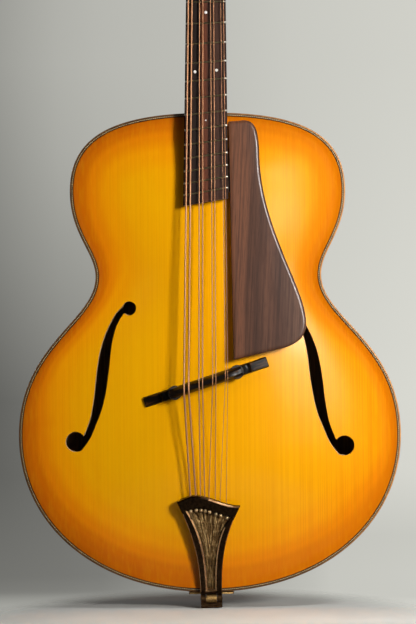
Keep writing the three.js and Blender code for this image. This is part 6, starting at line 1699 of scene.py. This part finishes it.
def rounded(route, reach, steps=4):
    """The route with each inner corner turned into a short curve."""
    points = [route[0]]
    for before, corner, after in zip(route, route[1:], route[2:]):
        a = corner + (before - corner) * min(reach / np.linalg.norm(before - corner), 0.45)
        b = corner + (after - corner) * min(reach / np.linalg.norm(after - corner), 0.45)
        points += [(1 - t) ** 2 * a + 2 * (1 - t) * t * corner + t ** 2 * b for t in np.linspace(0, 1, steps)]
    return points + [route[-1]]


# The balls' brass is painted much paler than the tuners' brass: painted highlight that keeps them bright in
# the shade of the hood.
ball_brass = metal("ball_brass", srgb(238, 190, 128), srgb(255, 228, 176), 0.42)
to_body = BODY_TO_WORLD.inverted()


def in_body(to_world, place):
    """A place in one frame, as seen in the body's frame."""
    return np.array(to_body @ (to_world @ Vector(place)))


for i, string_name in enumerate(STRING_NAMES):
    radius = STRING_DIAMETERS[i] / 2
    x = TAIL_X[i]
    ball_up = hood_edge(x) - 2.7
    under_hood = TAIL_TO_WORLD @ Matrix.Translation((x, ball_up - 0.3, 0.9))
    ball_rings = along_x(round_rings(0, 0, 2.1, BALL))
    ball = closed_piece(f"ball_{string_name}", ball_rings, [ball_brass], under_hood)
    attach(ball, "tailpiece")

    in_tail = [in_body(TAIL_TO_WORLD, (x, up, 0)) for up in (ball_up, hood_edge(x) + HOOD_RUN)]
    along = crossings[i]
    crossing = in_body(BRIDGE_TO_WORLD, (along, 0, strings_front(along) + radius))
    edge = np.array((0, 2.5 / math.cos(BRIDGE_SLANT), 0))
    nut_front, nut_back = (
        in_body(NECK_TO_WORLD, fan_point(fret, slots[i], NUT_TOP + 0.3 + radius - fall))
        for fret, fall in ((0, 0), (NUT_BACK_FRET, NUT_FALL)))
    side, post_x, post_y = tuner_place(i)
    wind = POST_RADIUS + 0.06 + radius
    start_at = HEAD_TO_WORLD.inverted() @ (BODY_TO_WORLD @ Vector(nut_back))
    way_round = -side
    to_post = math.atan2(post_y - start_at.y, post_x - start_at.x)
    apart = math.hypot(post_x - start_at.x, post_y - start_at.y)
    start = to_post - way_round * (math.asin(wind / apart) + math.pi / 2)
    hole_at = 0.0 if side < 0 else math.pi
    turn = way_round * (hole_at - start)
    sweep = turn - 2 * math.pi * round(turn / (2 * math.pi)) + 2 * math.pi * WINDING_TURNS
    top, pitch = winding_top(i), STRING_DIAMETERS[i] + 0.5
    low = top - pitch * sweep / (2 * math.pi)
    meets = in_body(HEAD_TO_WORLD, (post_x + wind * math.cos(start), post_y + wind * math.sin(start), low))

    over = crossing - edge
    joint = over + 2.5 * (in_tail[1] - over) / np.linalg.norm(in_tail[1] - over)
    tail_run = wire(f"{string_name}_at_tail", rounded([*in_tail, joint], 1.5), radius, BODY_TO_WORLD)
    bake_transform(tail_run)
    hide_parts(f"string_{string_name}")

    main_route = rounded([joint, over, crossing + edge, nut_front, nut_back, meets], 1.2)
    main_run = wire(f"{string_name}_over_board", main_route, radius, BODY_TO_WORLD)
    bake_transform(main_run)

    coil = []
    steps = 28 * WINDING_TURNS
    for k in range(steps + 1):
        a = start + way_round * sweep * k / steps
        rise = low + (top - low) * k / steps
        coil.append(np.array((post_x + wind * math.cos(a), post_y + wind * math.sin(a), rise)))
    inward = np.array((math.cos(hole_at), math.sin(hole_at), 0))
    centre = np.array((post_x, post_y, top))
    bend = np.array((0, way_round * radius * 0.9, 0))
    coil += [centre + inward * (wind * 0.9) + bend, centre + inward * (POST_RADIUS * 0.6),
             centre - inward * (POST_RADIUS + 1.6)]
    winding = wire(f"{string_name}_winding", coil, radius, HEAD_TO_WORLD)
    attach(winding, f"post_{string_name}")
